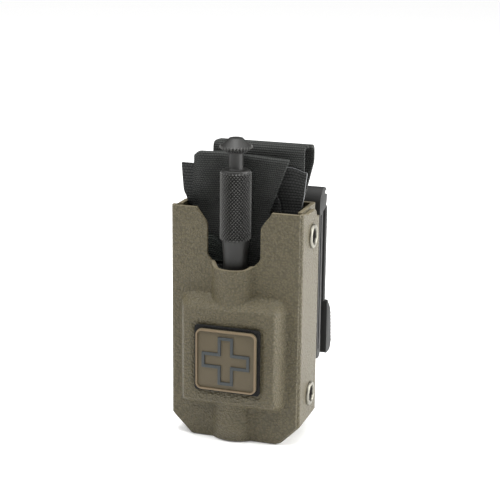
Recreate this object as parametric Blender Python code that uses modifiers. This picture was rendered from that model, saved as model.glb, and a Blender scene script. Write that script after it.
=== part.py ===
"""Tourniquet packed in a moulded belt holder with a hinged belt clip.

Metres, +Z up, front towards -Y. The origin is the middle of the holder's flat bottom face.
"""

from math import cos, pi, radians, sin, sqrt

import bmesh
import bpy
from mathutils import Matrix, Vector

GAP = 0.0003  # clearance between pieces that touch

# Holder: two formed shells, the back one nested inside the front one
CASE_WIDTH = 0.0548
CASE_DEPTH = 0.0245
CASE_HEIGHT = 0.0964
WALL = 0.0016
CORNER_CUT = 0.0083
EDGE_ROUND = 0.0012
FRONT_Y = -0.0105
BACK_Y = FRONT_Y + CASE_DEPTH
SIDE_SETBACK = 0.0012  # the front shell's sides stop this far before the back face
FLANGE_START_Y = -0.0060  # the back shell's side flanges reach forward to here
RIDGE_X = -0.0012
RIDGE_RADIUS = 0.0090
RIDGE_Y = -0.0079
NOTCH_LEFT = -0.0120
NOTCH_RIGHT = 0.0103
NOTCH_DEPTH = 0.0237
NOTCH_FLOOR = CASE_HEIGHT - NOTCH_DEPTH
NOTCH_FLARE = 0.0047
NOTCH_SHOULDER = 0.0062
NOTCH_CORNER = 0.0042
POD_WIDTH = 0.0440
POD_HEIGHT = 0.0455
POD_PROUD = 0.0072
POD_TAPER = 0.0022
POD_ROUND = 0.0026
POD_X = -0.0006
POD_Z = 0.0376
DRAIN_SIZE = 0.0050
DRAIN_X = 0.0125

# Side eyelets
EYELET_HOLE_RADIUS = 0.0028
EYELET_WALL = 0.0004
EYELET_FLANGE_RADIUS = 0.0049
EYELET_FLANGE = 0.0008
EYELET_Y = 0.0035
EYELET_BELOW_RIM = 0.0113
EYELET_HEIGHTS = {"upper": CASE_HEIGHT - EYELET_BELOW_RIM, "lower": 0.0185}

# Emblem patch
PATCH_SIZE = 0.0254
PATCH_THICKNESS = 0.0010
PATCH_ROUND = 0.0024
PANEL_SIZE = 0.0274
PANEL_THICKNESS = 0.0006
PANEL_ROUND = 0.0012
PATCH_X = -0.0009
PATCH_Z = 0.0365
RIM_WIDTH = 0.0009
RIM_HEIGHT = 0.0005
CROSS_SPAN = 0.0200
CROSS_ARM = 0.0064
CROSS_STROKE = 0.0012
PATCH_GAP = 0.0002

# Windlass: a turned rod, alike at both ends
WINDLASS_ABOVE_RIM = 0.0283
WINDLASS_BOTTOM = 0.0050
WINDLASS_LENGTH = CASE_HEIGHT + WINDLASS_ABOVE_RIM - WINDLASS_BOTTOM
WINDLASS_X = RIDGE_X
WINDLASS_Y = RIDGE_Y
BARREL_RADIUS = 0.00615
BARREL_EDGE = 0.0005
WAIST_STEP = 0.00145
WAIST_RADIUS = BARREL_RADIUS - WAIST_STEP
NECK_RADIUS = 0.0029
CAP_TIP_RADIUS = 0.00275
CAP_SLOPE = 0.00335
CAP_UNDERCUT = 0.0022
CAP_NECK_RADIUS = 0.0035
NECK_LENGTH = 0.0070
BARREL_LENGTH = 0.0284
TAPER_LENGTH = 0.0067
SLOT_LENGTH = 0.0160
SLOT_WIDTH = 0.0022
BAND_THICKNESS = 0.0010
BAND_WIDTH = 0.0130
BAND_REACH = 0.0098
ROD_STEPS = 24

# Webbing, layered from the windlass towards the back
WEB_WIDTH = 0.0380
WEB_THICKNESS = 0.0012
WEB_FRONT_Y = WINDLASS_Y + BARREL_RADIUS + 0.00065
LAYER_PITCH = WEB_THICKNESS + GAP
WEB_BOTTOM = 0.0090
FRONT_LOOP_RISE = 0.0210  # how far each fold stands above the rim
FRONT_LOOP_TOP = CASE_HEIGHT + FRONT_LOOP_RISE
FRONT_LOOP_DEPTH = LAYER_PITCH
BACK_LOOP_RISE = 0.0246
BACK_LOOP_TOP = CASE_HEIGHT + BACK_LOOP_RISE
BACK_LOOP_DEPTH = 0.0056
FRONT_LOOP_X = -0.0009
BACK_LOOP_X = 0.0030
BACK_LOOP_LEAN = 0.0020
TAIL_RISE = 0.0156
TAIL_TOP = CASE_HEIGHT + TAIL_RISE
TAIL_BOTTOM = 0.0600
TAIL_INSIDE_X = 0.0030  # how far each tail sits off centre inside the holder
TAIL_CORNER_X = CASE_WIDTH / 2 - 2 * WALL - GAP - 0.0005 - WEB_WIDTH / 2
TAIL_RIM_X = {-1: TAIL_CORNER_X, 1: TAIL_INSIDE_X}  # and at the rim, on the left and right
TAIL_LEAN = {-1: 0.0030, 1: 0.0020}  # how much farther out each stands above the rim
TAIL_SHIFT_DROP = 0.0060  # the shift towards the rim's corner is done below the rim

# Metalwork packed between the webbing layers
BUCKLE_WIDTH = 0.0400
BUCKLE_HEIGHT = 0.0230
BUCKLE_Z = 0.0455
METAL_THICKNESS = 0.0020
STIFFENER_WIDTH = 0.0360
STIFFENER_HEIGHT = 0.0760
STIFFENER_Z = 0.0460
KEEPER_LEFT = -0.0215
KEEPER_REACH = 0.0143
KEEPER_RISE = 0.0113
RING_WIDTH = 0.0390
RING_HEIGHT = 0.0200
RING_Z = 0.0225
RING_BAR = 0.0030

# Belt clip
CLIP_WIDTH = 0.0520
BOSS_RADIUS = 0.0072
BOSS_PROUD = 0.0044
BOSS_X = 0.0198
BOSS_HEIGHTS = (0.0866, 0.0704, 0.0362)
SCREWED_BOSSES = (BOSS_HEIGHTS[0], BOSS_HEIGHTS[2])
CLIP_FRONT_Y = BACK_Y + BOSS_PROUD + GAP
CLIP_THICKNESS = 0.0053
CLIP_BACK_Y = CLIP_FRONT_Y + CLIP_THICKNESS
CLIP_BOTTOM = 0.0277
HINGE_Y = CLIP_BACK_Y + 0.0006
HINGE_Z = 0.0954
HOOD_RADIUS = 0.0050
KNUCKLE_WIDTH = 0.0310
KNUCKLE_RADIUS = 0.0036
PIN_RADIUS = 0.0015
BELT_GAP = 0.0060
FLAP_THICKNESS = 0.0030
FLAP_TOP = HINGE_Z - 0.0041
FLAP_INNER_Y = CLIP_BACK_Y + BELT_GAP
FLAP_OUTER_Y = FLAP_INNER_Y + FLAP_THICKNESS
GRIP_TOP = 0.0497
GRIP_BOTTOM = 0.0252
GRIP_SHOULDER = 0.0062
GRIP_INSET = 0.0010
GRIP_ROUND = 0.0030
TONGUE_BOTTOM = 0.0330
TONGUE_HEIGHT = 0.0070
GRIP_REACH = 0.0090
CORE_WIDTH = 0.0270
LEVER_WIDTH = 0.0089
LEVER_TRAVEL = 0.0025
RIDGE_COUNT = 9
RIDGE_PITCH = 0.0016
RIDGE_DEPTH = 0.0009
SPACER_LOBE = 0.0027
SPACER_Z = 0.0441
SCREW_RADIUS = 0.0013
NUT_BARREL_RADIUS = 0.0020
NUT_FLANGE_RADIUS = 0.0045
SCREW_HEAD_RADIUS = 0.0034
SPACER_SCREW_X = 0.0140

parts = None
cutters = None


def material(name, colour, roughness, metallic=0.0):
    """A plain finish, made once and then shared."""
    found = bpy.data.materials.get(name)
    if found:
        return found
    made = bpy.data.materials.new(name)
    made.use_nodes = True
    shader = made.node_tree.nodes["Principled BSDF"]
    shader.inputs["Base Color"].default_value = (*colour, 1.0)
    shader.inputs["Roughness"].default_value = roughness
    shader.inputs["Metallic"].default_value = metallic
    return made


def shell_plastic():
    return material("shell_plastic", (0.150, 0.126, 0.084), 0.62)


def clip_plastic():
    return material("clip_plastic", (0.045, 0.047, 0.049), 0.50)


def webbing_black():
    return material("webbing_black", (0.014, 0.016, 0.015), 0.90)


def rod_metal():
    return material("rod_metal", (0.060, 0.060, 0.058), 0.45, 0.6)


def bright_metal():
    return material("bright_metal", (0.60, 0.60, 0.57), 0.30, 1.0)


def add(name, mesh, finish=None):
    """Link a mesh as a part, or as a hidden cutter when it has no finish."""
    made = bpy.data.objects.new(name, mesh)
    if finish:
        parts.objects.link(made)
        made.data.materials.append(finish)
    else:
        cutters.objects.link(made)
        made.hide_render = True
        made.display_type = "WIRE"
    return made


def box(name, low, high, finish=None):
    """A rectangular block between two corners."""
    work = bmesh.new()
    bmesh.ops.create_cube(work, size=1.0)
    low, high = Vector(low), Vector(high)
    span = high - low
    bmesh.ops.scale(work, vec=span, verts=work.verts)
    bmesh.ops.translate(work, vec=(low + high) / 2, verts=work.verts)
    mesh = bpy.data.meshes.new(name)
    work.to_mesh(mesh)
    work.free()
    return add(name, mesh, finish)


def rod(name, centre, axis, radius, length, finish=None, steps=20):
    """A cylinder about a world axis."""
    work = bmesh.new()
    bmesh.ops.create_cone(
        work, cap_ends=True, segments=steps, radius1=radius, radius2=radius, depth=length
    )
    turn = Vector((0, 0, 1)).rotation_difference(Vector(axis)).to_matrix().to_4x4()
    bmesh.ops.transform(work, matrix=Matrix.Translation(centre) @ turn, verts=work.verts)
    mesh = bpy.data.meshes.new(name)
    work.to_mesh(mesh)
    work.free()
    return add(name, mesh, finish)


def plate(name, outline, start, end, plane, finish=None, holes=()):
    """A flat outline drawn in XZ or YZ, thick from start to end along the third axis."""
    curve = bpy.data.curves.new(name, "CURVE")
    curve.dimensions = "2D"
    curve.fill_mode = "BOTH"
    curve.extrude = abs(end - start) / 2
    for loop in (outline, *holes):
        spline = curve.splines.new("POLY")
        spline.points.add(len(loop) - 1)
        for point, (u, v) in zip(spline.points, loop):
            point.co = (u, v, 0, 1)
        spline.use_cyclic_u = True
    middle = (start + end) / 2
    if plane == "XZ":
        place = Matrix.Translation((0, middle, 0)) @ Matrix.Rotation(pi / 2, 4, "X")
    elif plane == "XY":
        place = Matrix.Translation((0, 0, middle))
    else:
        swap = Matrix(((0, 0, 1, 0), (1, 0, 0, 0), (0, 1, 0, 0), (0, 0, 0, 1)))
        place = Matrix.Translation((middle, 0, 0)) @ swap
    drawn = bpy.data.objects.new(name + "_outline", curve)
    bpy.context.scene.collection.objects.link(drawn)
    drawn.matrix_world = place
    bpy.context.view_layer.update()
    graph = bpy.context.evaluated_depsgraph_get()
    mesh = bpy.data.meshes.new_from_object(drawn.evaluated_get(graph))
    mesh.transform(place)
    work = bmesh.new()
    work.from_mesh(mesh)
    bmesh.ops.remove_doubles(work, verts=work.verts, dist=0.00001)
    bmesh.ops.dissolve_limit(work, angle_limit=0.002, verts=work.verts, edges=work.edges)
    bmesh.ops.recalc_face_normals(work, faces=work.faces)
    work.to_mesh(mesh)
    work.free()
    mesh.name = name
    bpy.data.objects.remove(drawn)
    return add(name, mesh, finish)


def turned(name, profile, place, finish=None, steps=ROD_STEPS, ring=False):
    """A profile of (radius, height) points, listed from the top, turned about Z, then placed."""
    work = bmesh.new()
    corners = [work.verts.new((radius, 0, height)) for radius, height in profile]
    pairs = list(zip(corners, corners[1:]))
    if ring:
        pairs.append((corners[-1], corners[0]))
    for first, second in pairs:
        work.edges.new((first, second))
    mesh = bpy.data.meshes.new(name)
    work.to_mesh(mesh)
    work.free()
    made = add(name, mesh, finish)
    made.matrix_world = place
    screw = made.modifiers.new("turn", "SCREW")
    screw.steps = steps
    screw.render_steps = steps
    screw.use_merge_vertices = True
    screw.merge_threshold = 0.00001
    return made


def ribbon(name, path, width, thickness, finish):
    """A band laid along a path of (x, y, z) points of its left edge, in a plane of constant X."""
    work = bmesh.new()
    corners = [work.verts.new(point) for point in path]
    edges = [work.edges.new(pair) for pair in zip(corners, corners[1:])]
    swept = bmesh.ops.extrude_edge_only(work, edges=edges)
    moved = [item for item in swept["geom"] if isinstance(item, bmesh.types.BMVert)]
    bmesh.ops.translate(work, vec=(width, 0, 0), verts=moved)
    mesh = bpy.data.meshes.new(name)
    work.to_mesh(mesh)
    work.free()
    made = add(name, mesh, finish)
    thick = made.modifiers.new("thickness", "SOLIDIFY")
    thick.thickness = thickness
    thick.offset = 0.0
    thick.use_even_offset = True
    return made


def round_edges(piece, width, segments=2, angle=40):
    rounding = piece.modifiers.new("round", "BEVEL")
    rounding.width = width
    rounding.segments = segments
    rounding.limit_method = "ANGLE"
    rounding.angle_limit = radians(angle)
    return piece


def combine(piece, other, operation):
    joint = piece.modifiers.new(operation.lower(), "BOOLEAN")
    joint.operation = operation
    joint.solver = "EXACT"
    joint.object = other
    return piece


def cut(piece, *tools):
    for tool in tools:
        combine(piece, tool, "DIFFERENCE")
    return piece


def join(piece, *others):
    for other in others:
        combine(piece, other, "UNION")
    return piece


def arc(centre, radius, start, end, steps):
    """Points of a round stretch, angles in degrees."""
    turn = [radians(start + (end - start) * i / steps) for i in range(steps + 1)]
    return [(centre[0] + radius * cos(a), centre[1] + radius * sin(a)) for a in turn]


def rounded_square(centre_x, centre_z, width, height, radius, steps=4):
    outline = []
    for side_x, side_z, start in ((1, 1, 0), (-1, 1, 90), (-1, -1, 180), (1, -1, 270)):
        middle = (centre_x + side_x * (width / 2 - radius), centre_z + side_z * (height / 2 - radius))
        outline += arc(middle, radius, start, start + 90, steps)
    return outline


def case_outline(inset, top):
    """The holder's front outline, moved inwards by inset."""
    half = CASE_WIDTH / 2 - inset
    corner = CORNER_CUT - inset * (2 - sqrt(2))
    return [
        (-half, inset + corner),
        (-half + corner, inset),
        (half - corner, inset),
        (half, inset + corner),
        (half, top),
        (-half, top),
    ]


def pod(name, inset, back_y):
    """The raised block on the front: its face is smaller than its base."""
    front = FRONT_Y - POD_PROUD + inset
    half = Vector((POD_WIDTH / 2 - inset, 0, POD_HEIGHT / 2 - inset))
    made = box(
        name, (POD_X - half.x, front, POD_Z - half.z), (POD_X + half.x, back_y, POD_Z + half.z)
    )
    for corner in made.data.vertices:
        if corner.co.y < (front + back_y) / 2:
            corner.co.x -= POD_TAPER if corner.co.x > POD_X else -POD_TAPER
            corner.co.z -= POD_TAPER if corner.co.z > POD_Z else -POD_TAPER
    return round_edges(made, POD_ROUND - inset / 2, 2)


def notch_outline():
    top = CASE_HEIGHT + 0.01
    return [
        (NOTCH_LEFT - NOTCH_FLARE, top),
        (NOTCH_LEFT - NOTCH_FLARE, CASE_HEIGHT),
        (NOTCH_LEFT, CASE_HEIGHT - NOTCH_SHOULDER),
        (NOTCH_LEFT, NOTCH_FLOOR + NOTCH_CORNER),
        (NOTCH_LEFT + NOTCH_CORNER, NOTCH_FLOOR),
        (NOTCH_RIGHT - NOTCH_CORNER, NOTCH_FLOOR),
        (NOTCH_RIGHT, NOTCH_FLOOR + NOTCH_CORNER),
        (NOTCH_RIGHT, CASE_HEIGHT - NOTCH_SHOULDER),
        (NOTCH_RIGHT + NOTCH_FLARE, CASE_HEIGHT),
        (NOTCH_RIGHT + NOTCH_FLARE, top),
    ]


def eyelet_bores(tag, radius):
    """One cutter through both side walls at each eyelet height."""
    length = CASE_WIDTH + 0.02
    return [
        rod(f"bore_{tag}_{name}", (0, EYELET_Y, height), (1, 0, 0), radius, length)
        for name, height in EYELET_HEIGHTS.items()
    ]


def front_shell():
    side_end = BACK_Y - SIDE_SETBACK
    shell = plate("front_shell", case_outline(0, CASE_HEIGHT), FRONT_Y, side_end, "XZ", shell_plastic())
    round_edges(shell, EDGE_ROUND)
    ridge_top = NOTCH_FLOOR + 0.002
    ridge = rod(
        "ridge_outside", (RIDGE_X, RIDGE_Y, ridge_top / 2), (0, 0, 1), RIDGE_RADIUS, ridge_top, steps=36
    )
    join(shell, ridge, pod("pod_outside", 0, FRONT_Y + WALL / 2))
    hollow = plate(
        "case_hollow", case_outline(WALL, CASE_HEIGHT + 0.01), FRONT_Y + WALL, BACK_Y + 0.01, "XZ"
    )
    channel_height = CASE_HEIGHT
    channel = rod(
        "ridge_inside",
        (RIDGE_X, RIDGE_Y, WALL + channel_height / 2),
        (0, 0, 1),
        RIDGE_RADIUS - WALL,
        channel_height,
        steps=36,
    )
    notch = plate("notch", notch_outline(), FRONT_Y - 0.02, FRONT_Y + WALL + 0.0006, "XZ")
    cut(shell, hollow, pod("pod_inside", WALL, FRONT_Y + 2 * WALL), channel, notch)
    half = DRAIN_SIZE / 2
    for side in (-1, 1):
        drain_x = side * DRAIN_X
        cut(shell, box(f"drain_{side}", (drain_x - half, -half, -0.01), (drain_x + half, half, 0.01)))
    return cut(shell, *eyelet_bores("front", EYELET_HOLE_RADIUS + EYELET_WALL + GAP))


def back_shell():
    inset = WALL + GAP
    outline = case_outline(inset, CASE_HEIGHT)
    shell = plate("back_shell", outline, FLANGE_START_Y, BACK_Y, "XZ", shell_plastic())
    for side in (-1, 1):
        for height in BOSS_HEIGHTS:
            centre = (side * BOSS_X, BACK_Y + BOSS_PROUD / 2 - SIDE_SETBACK / 4, height)
            length = BOSS_PROUD + SIDE_SETBACK / 2
            join(shell, rod(f"boss_{side}_{height}", centre, (0, 1, 0), BOSS_RADIUS, length, steps=24))
    hollow = case_outline(inset + WALL, CASE_HEIGHT + 0.01)
    cut(shell, plate("back_hollow", hollow, FLANGE_START_Y - 0.01, BACK_Y - WALL, "XZ"))
    for side in (-1, 1):
        for height in BOSS_HEIGHTS:
            centre = (side * BOSS_X, BACK_Y - WALL + BOSS_PROUD / 2 - WALL / 4, height)
            length = BOSS_PROUD + WALL / 2
            tool = rod(f"pocket_{side}_{height}", centre, (0, 1, 0), BOSS_RADIUS - WALL, length, steps=24)
            cut(shell, tool)
        for height in SCREWED_BOSSES:
            centre = (side * BOSS_X, BACK_Y, height)
            radius = NUT_BARREL_RADIUS + GAP
            cut(shell, rod(f"nut_hole_{side}_{height}", centre, (0, 1, 0), radius, 0.02, steps=16))
    return cut(shell, *eyelet_bores("back", EYELET_HOLE_RADIUS + EYELET_WALL + GAP))


def eyelet(name, side, height):
    """A tube through both side walls, rolled over at each end."""
    outer = CASE_WIDTH / 2 + GAP
    inner = CASE_WIDTH / 2 - 2 * WALL - 2 * GAP
    tube = EYELET_HOLE_RADIUS + EYELET_WALL
    roll = EYELET_FLANGE_RADIUS
    lip = EYELET_HOLE_RADIUS + 0.0006
    profile = [
        (EYELET_HOLE_RADIUS, outer + EYELET_FLANGE * 0.5),
        (lip, outer + EYELET_FLANGE),
        (roll - 0.0006, outer + EYELET_FLANGE * 0.8),
        (roll, outer + EYELET_FLANGE * 0.3),
        (roll, outer),
        (tube, outer),
        (tube, inner),
        (roll - 0.0004, inner),
        (roll - 0.0006, inner - EYELET_FLANGE * 0.7),
        (EYELET_HOLE_RADIUS, inner - EYELET_FLANGE * 0.7),
    ]
    turn = Matrix.Rotation(side * pi / 2, 4, "Y")
    place = Matrix.Translation((0, EYELET_Y, height)) @ turn
    return turned(name, profile, place, bright_metal(), 24, ring=True)


def patch():
    face = FRONT_Y - POD_PROUD
    panel_back = face - PATCH_GAP
    panel_front = panel_back - PANEL_THICKNESS
    panel = rounded_square(PATCH_X, PATCH_Z, PANEL_SIZE, PANEL_SIZE, PANEL_ROUND, 2)
    fabric = material("loop_fabric", (0.018, 0.018, 0.018), 0.95)
    plate("loop_panel", panel, panel_front, panel_back, "XZ", fabric)
    body_back = panel_front - PATCH_GAP
    body_front = body_back - PATCH_THICKNESS
    square = rounded_square(PATCH_X, PATCH_Z, PATCH_SIZE, PATCH_SIZE, PATCH_ROUND)
    tan = material("patch_tan", (0.135, 0.105, 0.062), 0.60)
    plate("patch_body", square, body_front, body_back, "XZ", tan)
    raised_back = body_front - PATCH_GAP
    raised_front = raised_back - RIM_HEIGHT
    inside = PATCH_SIZE - 2 * RIM_WIDTH
    hollow = rounded_square(PATCH_X, PATCH_Z, inside, inside, PATCH_ROUND - RIM_WIDTH)
    rim = material("patch_rim", (0.235, 0.180, 0.110), 0.60)
    plate("patch_rim", square, raised_front, raised_back, "XZ", rim, holes=(hollow,))
    grey = material("patch_grey", (0.050, 0.056, 0.055), 0.60)
    outer = cross_outline(CROSS_SPAN / 2, CROSS_ARM / 2)
    inner = cross_outline(CROSS_SPAN / 2 - CROSS_STROKE, CROSS_ARM / 2 - CROSS_STROKE)
    plate("patch_cross", outer, raised_front, raised_back, "XZ", grey, holes=(inner,))


def cross_outline(reach, half_arm):
    """A plus sign with square ends."""
    quarter = [(reach, -half_arm), (reach, half_arm), (half_arm, half_arm)]
    points = []
    for turn in range(4):
        angle = turn * pi / 2
        for u, v in quarter:
            points.append((
                PATCH_X + u * cos(angle) - v * sin(angle),
                PATCH_Z + u * sin(angle) + v * cos(angle),
            ))
    return points


def windlass():
    """The rod's upper half, mirrored at its middle and slotted for the tension band."""
    half = WINDLASS_LENGTH / 2
    cap_edge = half - CAP_SLOPE
    cap_foot = cap_edge - CAP_UNDERCUT
    barrel_top = cap_foot - NECK_LENGTH
    barrel_end = barrel_top - BARREL_LENGTH
    waist = barrel_end - TAPER_LENGTH
    upper = [
        (0, half),
        (CAP_TIP_RADIUS, half),
        (BARREL_RADIUS, cap_edge + 0.0002),
        (BARREL_RADIUS, cap_edge - 0.0002),
        (CAP_NECK_RADIUS, cap_foot),
        (NECK_RADIUS, cap_foot - 0.0004),
        (NECK_RADIUS, barrel_top),
        (BARREL_RADIUS - BARREL_EDGE, barrel_top),
        (BARREL_RADIUS, barrel_top - BARREL_EDGE),
        (BARREL_RADIUS, barrel_end),
        (WAIST_RADIUS, waist),
    ]
    lower = [(radius, -height) for radius, height in reversed(upper)]
    middle = WINDLASS_BOTTOM + half
    place = Matrix.Translation((WINDLASS_X, WINDLASS_Y, middle))
    made = turned("windlass", upper + lower, place, rod_metal())
    reach = 2 * BARREL_RADIUS
    slot = box(
        "slot",
        (WINDLASS_X - reach, WINDLASS_Y - SLOT_WIDTH / 2, middle - SLOT_LENGTH / 2),
        (WINDLASS_X + reach, WINDLASS_Y + SLOT_WIDTH / 2, middle + SLOT_LENGTH / 2),
    )
    return cut(made, slot), middle


def tension_band(middle):
    """The band that the rod twists: through the slot, round behind the rod and back."""
    back = WEB_FRONT_Y - GAP - BAND_THICKNESS
    half = BAND_THICKNESS / 2
    front = [
        (-BAND_REACH, back + half),
        (-BAND_REACH + 0.0006, back - 0.0020),
        (-WAIST_RADIUS - 0.0016, WINDLASS_Y - half),
        (WAIST_RADIUS + 0.0016, WINDLASS_Y - half),
        (BAND_REACH - 0.0006, back - 0.0020),
        (BAND_REACH, back + half),
        (BAND_REACH, back + BAND_THICKNESS),
        (-BAND_REACH, back + BAND_THICKNESS),
    ]
    hollow = [
        (-BAND_REACH + 0.0015, back),
        (-BAND_REACH + 0.0016, back - 0.0014),
        (-WAIST_RADIUS - 0.0012, WINDLASS_Y + half),
        (WAIST_RADIUS + 0.0012, WINDLASS_Y + half),
        (BAND_REACH - 0.0016, back - 0.0014),
        (BAND_REACH - 0.0015, back),
    ]
    low = middle - BAND_WIDTH / 2
    place = [(x + WINDLASS_X, y) for x, y in front]
    inside = [(x + WINDLASS_X, y) for x, y in hollow]
    return plate("tension_band", place, low, low + BAND_WIDTH, "XY", webbing_black(), holes=(inside,))


def layer_y(number):
    """The middle of a webbing layer, counted from the windlass."""
    return WEB_FRONT_Y + WEB_THICKNESS / 2 + number * LAYER_PITCH


def loop_points(front_y, back_y, depth, top, neck):
    """A fold above the holder: it spreads to depth, then closes to both layers at the neck."""
    middle = (front_y + back_y) / 2 + (depth - (back_y - front_y)) / 2
    radius = depth / 2
    turn = arc((middle, top - radius - WEB_THICKNESS / 2), radius, 180, 0, 8)
    return [(front_y, neck)] + turn + [(back_y, neck)]


def main_strap():
    """One webbing: up, over the front loop, down, round the bottom, up, over the back loop, down."""
    first, second, third, fourth = (layer_y(number) for number in (0, 1, 4, 5))
    neck = CASE_HEIGHT + 0.0006
    start = WEB_BOTTOM + 0.0030
    front = [(first, start)] + loop_points(first, second, FRONT_LOOP_DEPTH, FRONT_LOOP_TOP, neck)
    turn_radius = (third - second) / 2
    under = arc(
        ((second + third) / 2, WEB_BOTTOM + turn_radius + WEB_THICKNESS / 2), turn_radius, 180, 360, 6
    )
    back = loop_points(third, fourth, BACK_LOOP_DEPTH, BACK_LOOP_TOP, neck) + [(fourth, start)]
    left = FRONT_LOOP_X - WEB_WIDTH / 2
    path = [(left, y, z) for y, z in front + under]
    shift = BACK_LOOP_X - FRONT_LOOP_X
    for y, z in back:
        lean = BACK_LOOP_LEAN if z > neck else 0.0
        path.append((left + shift + lean, y, z))
    return ribbon("main_strap", path, WEB_WIDTH, WEB_THICKNESS, webbing_black())


def tail(name, layer, side):
    """A free end of webbing that leans outwards above the holder's rim."""
    y = layer_y(layer)
    left = side * TAIL_INSIDE_X - WEB_WIDTH / 2
    at_rim = side * TAIL_RIM_X[side] - WEB_WIDTH / 2
    at_top = at_rim + side * TAIL_LEAN[side]
    rim = CASE_HEIGHT + 0.001
    path = [
        (left, y, TAIL_BOTTOM),
        (left, y, CASE_HEIGHT - TAIL_SHIFT_DROP),
        (at_rim, y, CASE_HEIGHT - TAIL_SHIFT_DROP / 2),
        (at_rim, y, rim),
        (at_top, y, rim + 0.003),
        (at_top, y, TAIL_TOP),
    ]
    return ribbon(name, path, WEB_WIDTH, WEB_THICKNESS, webbing_black())


def metalwork():
    """Buckle frame with its hook, and the locking ring with its keeper, between the layers."""
    low = layer_y(1) + WEB_THICKNESS / 2 + GAP
    high = low + METAL_THICKNESS
    frame = rounded_square(0, BUCKLE_Z, BUCKLE_WIDTH, BUCKLE_HEIGHT, 0.003, 3)
    window = rounded_square(0, BUCKLE_Z, BUCKLE_WIDTH - 0.007, BUCKLE_HEIGHT - 0.007, 0.0012, 2)
    plate("buckle_frame", frame, low, high, "XZ", rod_metal(), holes=(window,))
    hook_half = (BUCKLE_WIDTH - 0.007) / 2 - GAP - 0.003
    hook_low = BUCKLE_Z - BUCKLE_HEIGHT / 2 + 0.0035 + GAP
    hook_high = BUCKLE_Z + BUCKLE_HEIGHT / 2 - 0.0035 - GAP
    hook = [
        (-hook_half, hook_low),
        (hook_half, hook_low),
        (hook_half, hook_low + 0.004),
        (hook_half - 0.010, hook_low + 0.006),
        (hook_half - 0.010, hook_high),
        (-hook_half + 0.010, hook_high),
        (-hook_half + 0.010, hook_low + 0.006),
        (-hook_half, hook_low + 0.004),
    ]
    plate("buckle_hook", hook, low, high, "XZ", rod_metal())
    ring_bottom = RING_Z - RING_HEIGHT / 2
    ring_top = RING_Z + RING_HEIGHT / 2

    def triangle(inset):
        half = RING_WIDTH / 2 - inset
        tip = 0.005 - inset / 2
        return [
            (-half, ring_top - inset),
            (-half, ring_top - 0.004 - inset * 0.45),
            (-tip, ring_bottom + inset),
            (tip, ring_bottom + inset),
            (half, ring_top - 0.004 - inset * 0.45),
            (half, ring_top - inset),
        ]

    ring_plastic = material("ring_plastic", (0.03, 0.03, 0.03), 0.45)
    hollow = triangle(RING_BAR)
    plate("lock_ring", triangle(0), low, high, "XZ", ring_plastic, holes=(hollow,))
    keeper_low = ring_top - RING_BAR - GAP
    keeper = [
        (-0.006, keeper_low - 0.007),
        (0.006, keeper_low - 0.007),
        (0.006, keeper_low),
        (-0.006, keeper_low),
    ]
    plate("ring_keeper", keeper, low + 0.0004, high - 0.0004, "XZ", webbing_black())


def soft_parts():
    main_strap()
    tail("left_tail", 2, -1)
    tail("right_tail", 3, 1)
    pad_low = layer_y(5) + WEB_THICKNESS / 2 + GAP
    pad_high = BACK_Y - WALL - GAP
    outline = rounded_square(0, STIFFENER_Z, STIFFENER_WIDTH, STIFFENER_HEIGHT, 0.004, 3)
    stiff = material("stiffener", (0.02, 0.02, 0.02), 0.6)
    plate("base_plate", outline, pad_low, pad_high, "XZ", stiff)
    keeper_y = WEB_FRONT_Y - GAP
    low, high = NOTCH_FLOOR - 0.0002, NOTCH_FLOOR + KEEPER_RISE
    tab = [
        (KEEPER_LEFT, low),
        (KEEPER_LEFT + KEEPER_REACH, low),
        (KEEPER_LEFT + KEEPER_REACH, low + 0.0040),
        (KEEPER_LEFT + KEEPER_REACH - 0.0033, high - 0.0020),
        (KEEPER_LEFT + KEEPER_REACH - 0.0078, high - 0.0007),
        (KEEPER_LEFT, high),
    ]
    knit = material("knit_elastic", (0.035, 0.040, 0.039), 0.95)
    plate("keeper_tab", tab, keeper_y - 0.0009, keeper_y, "XZ", knit)


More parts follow.
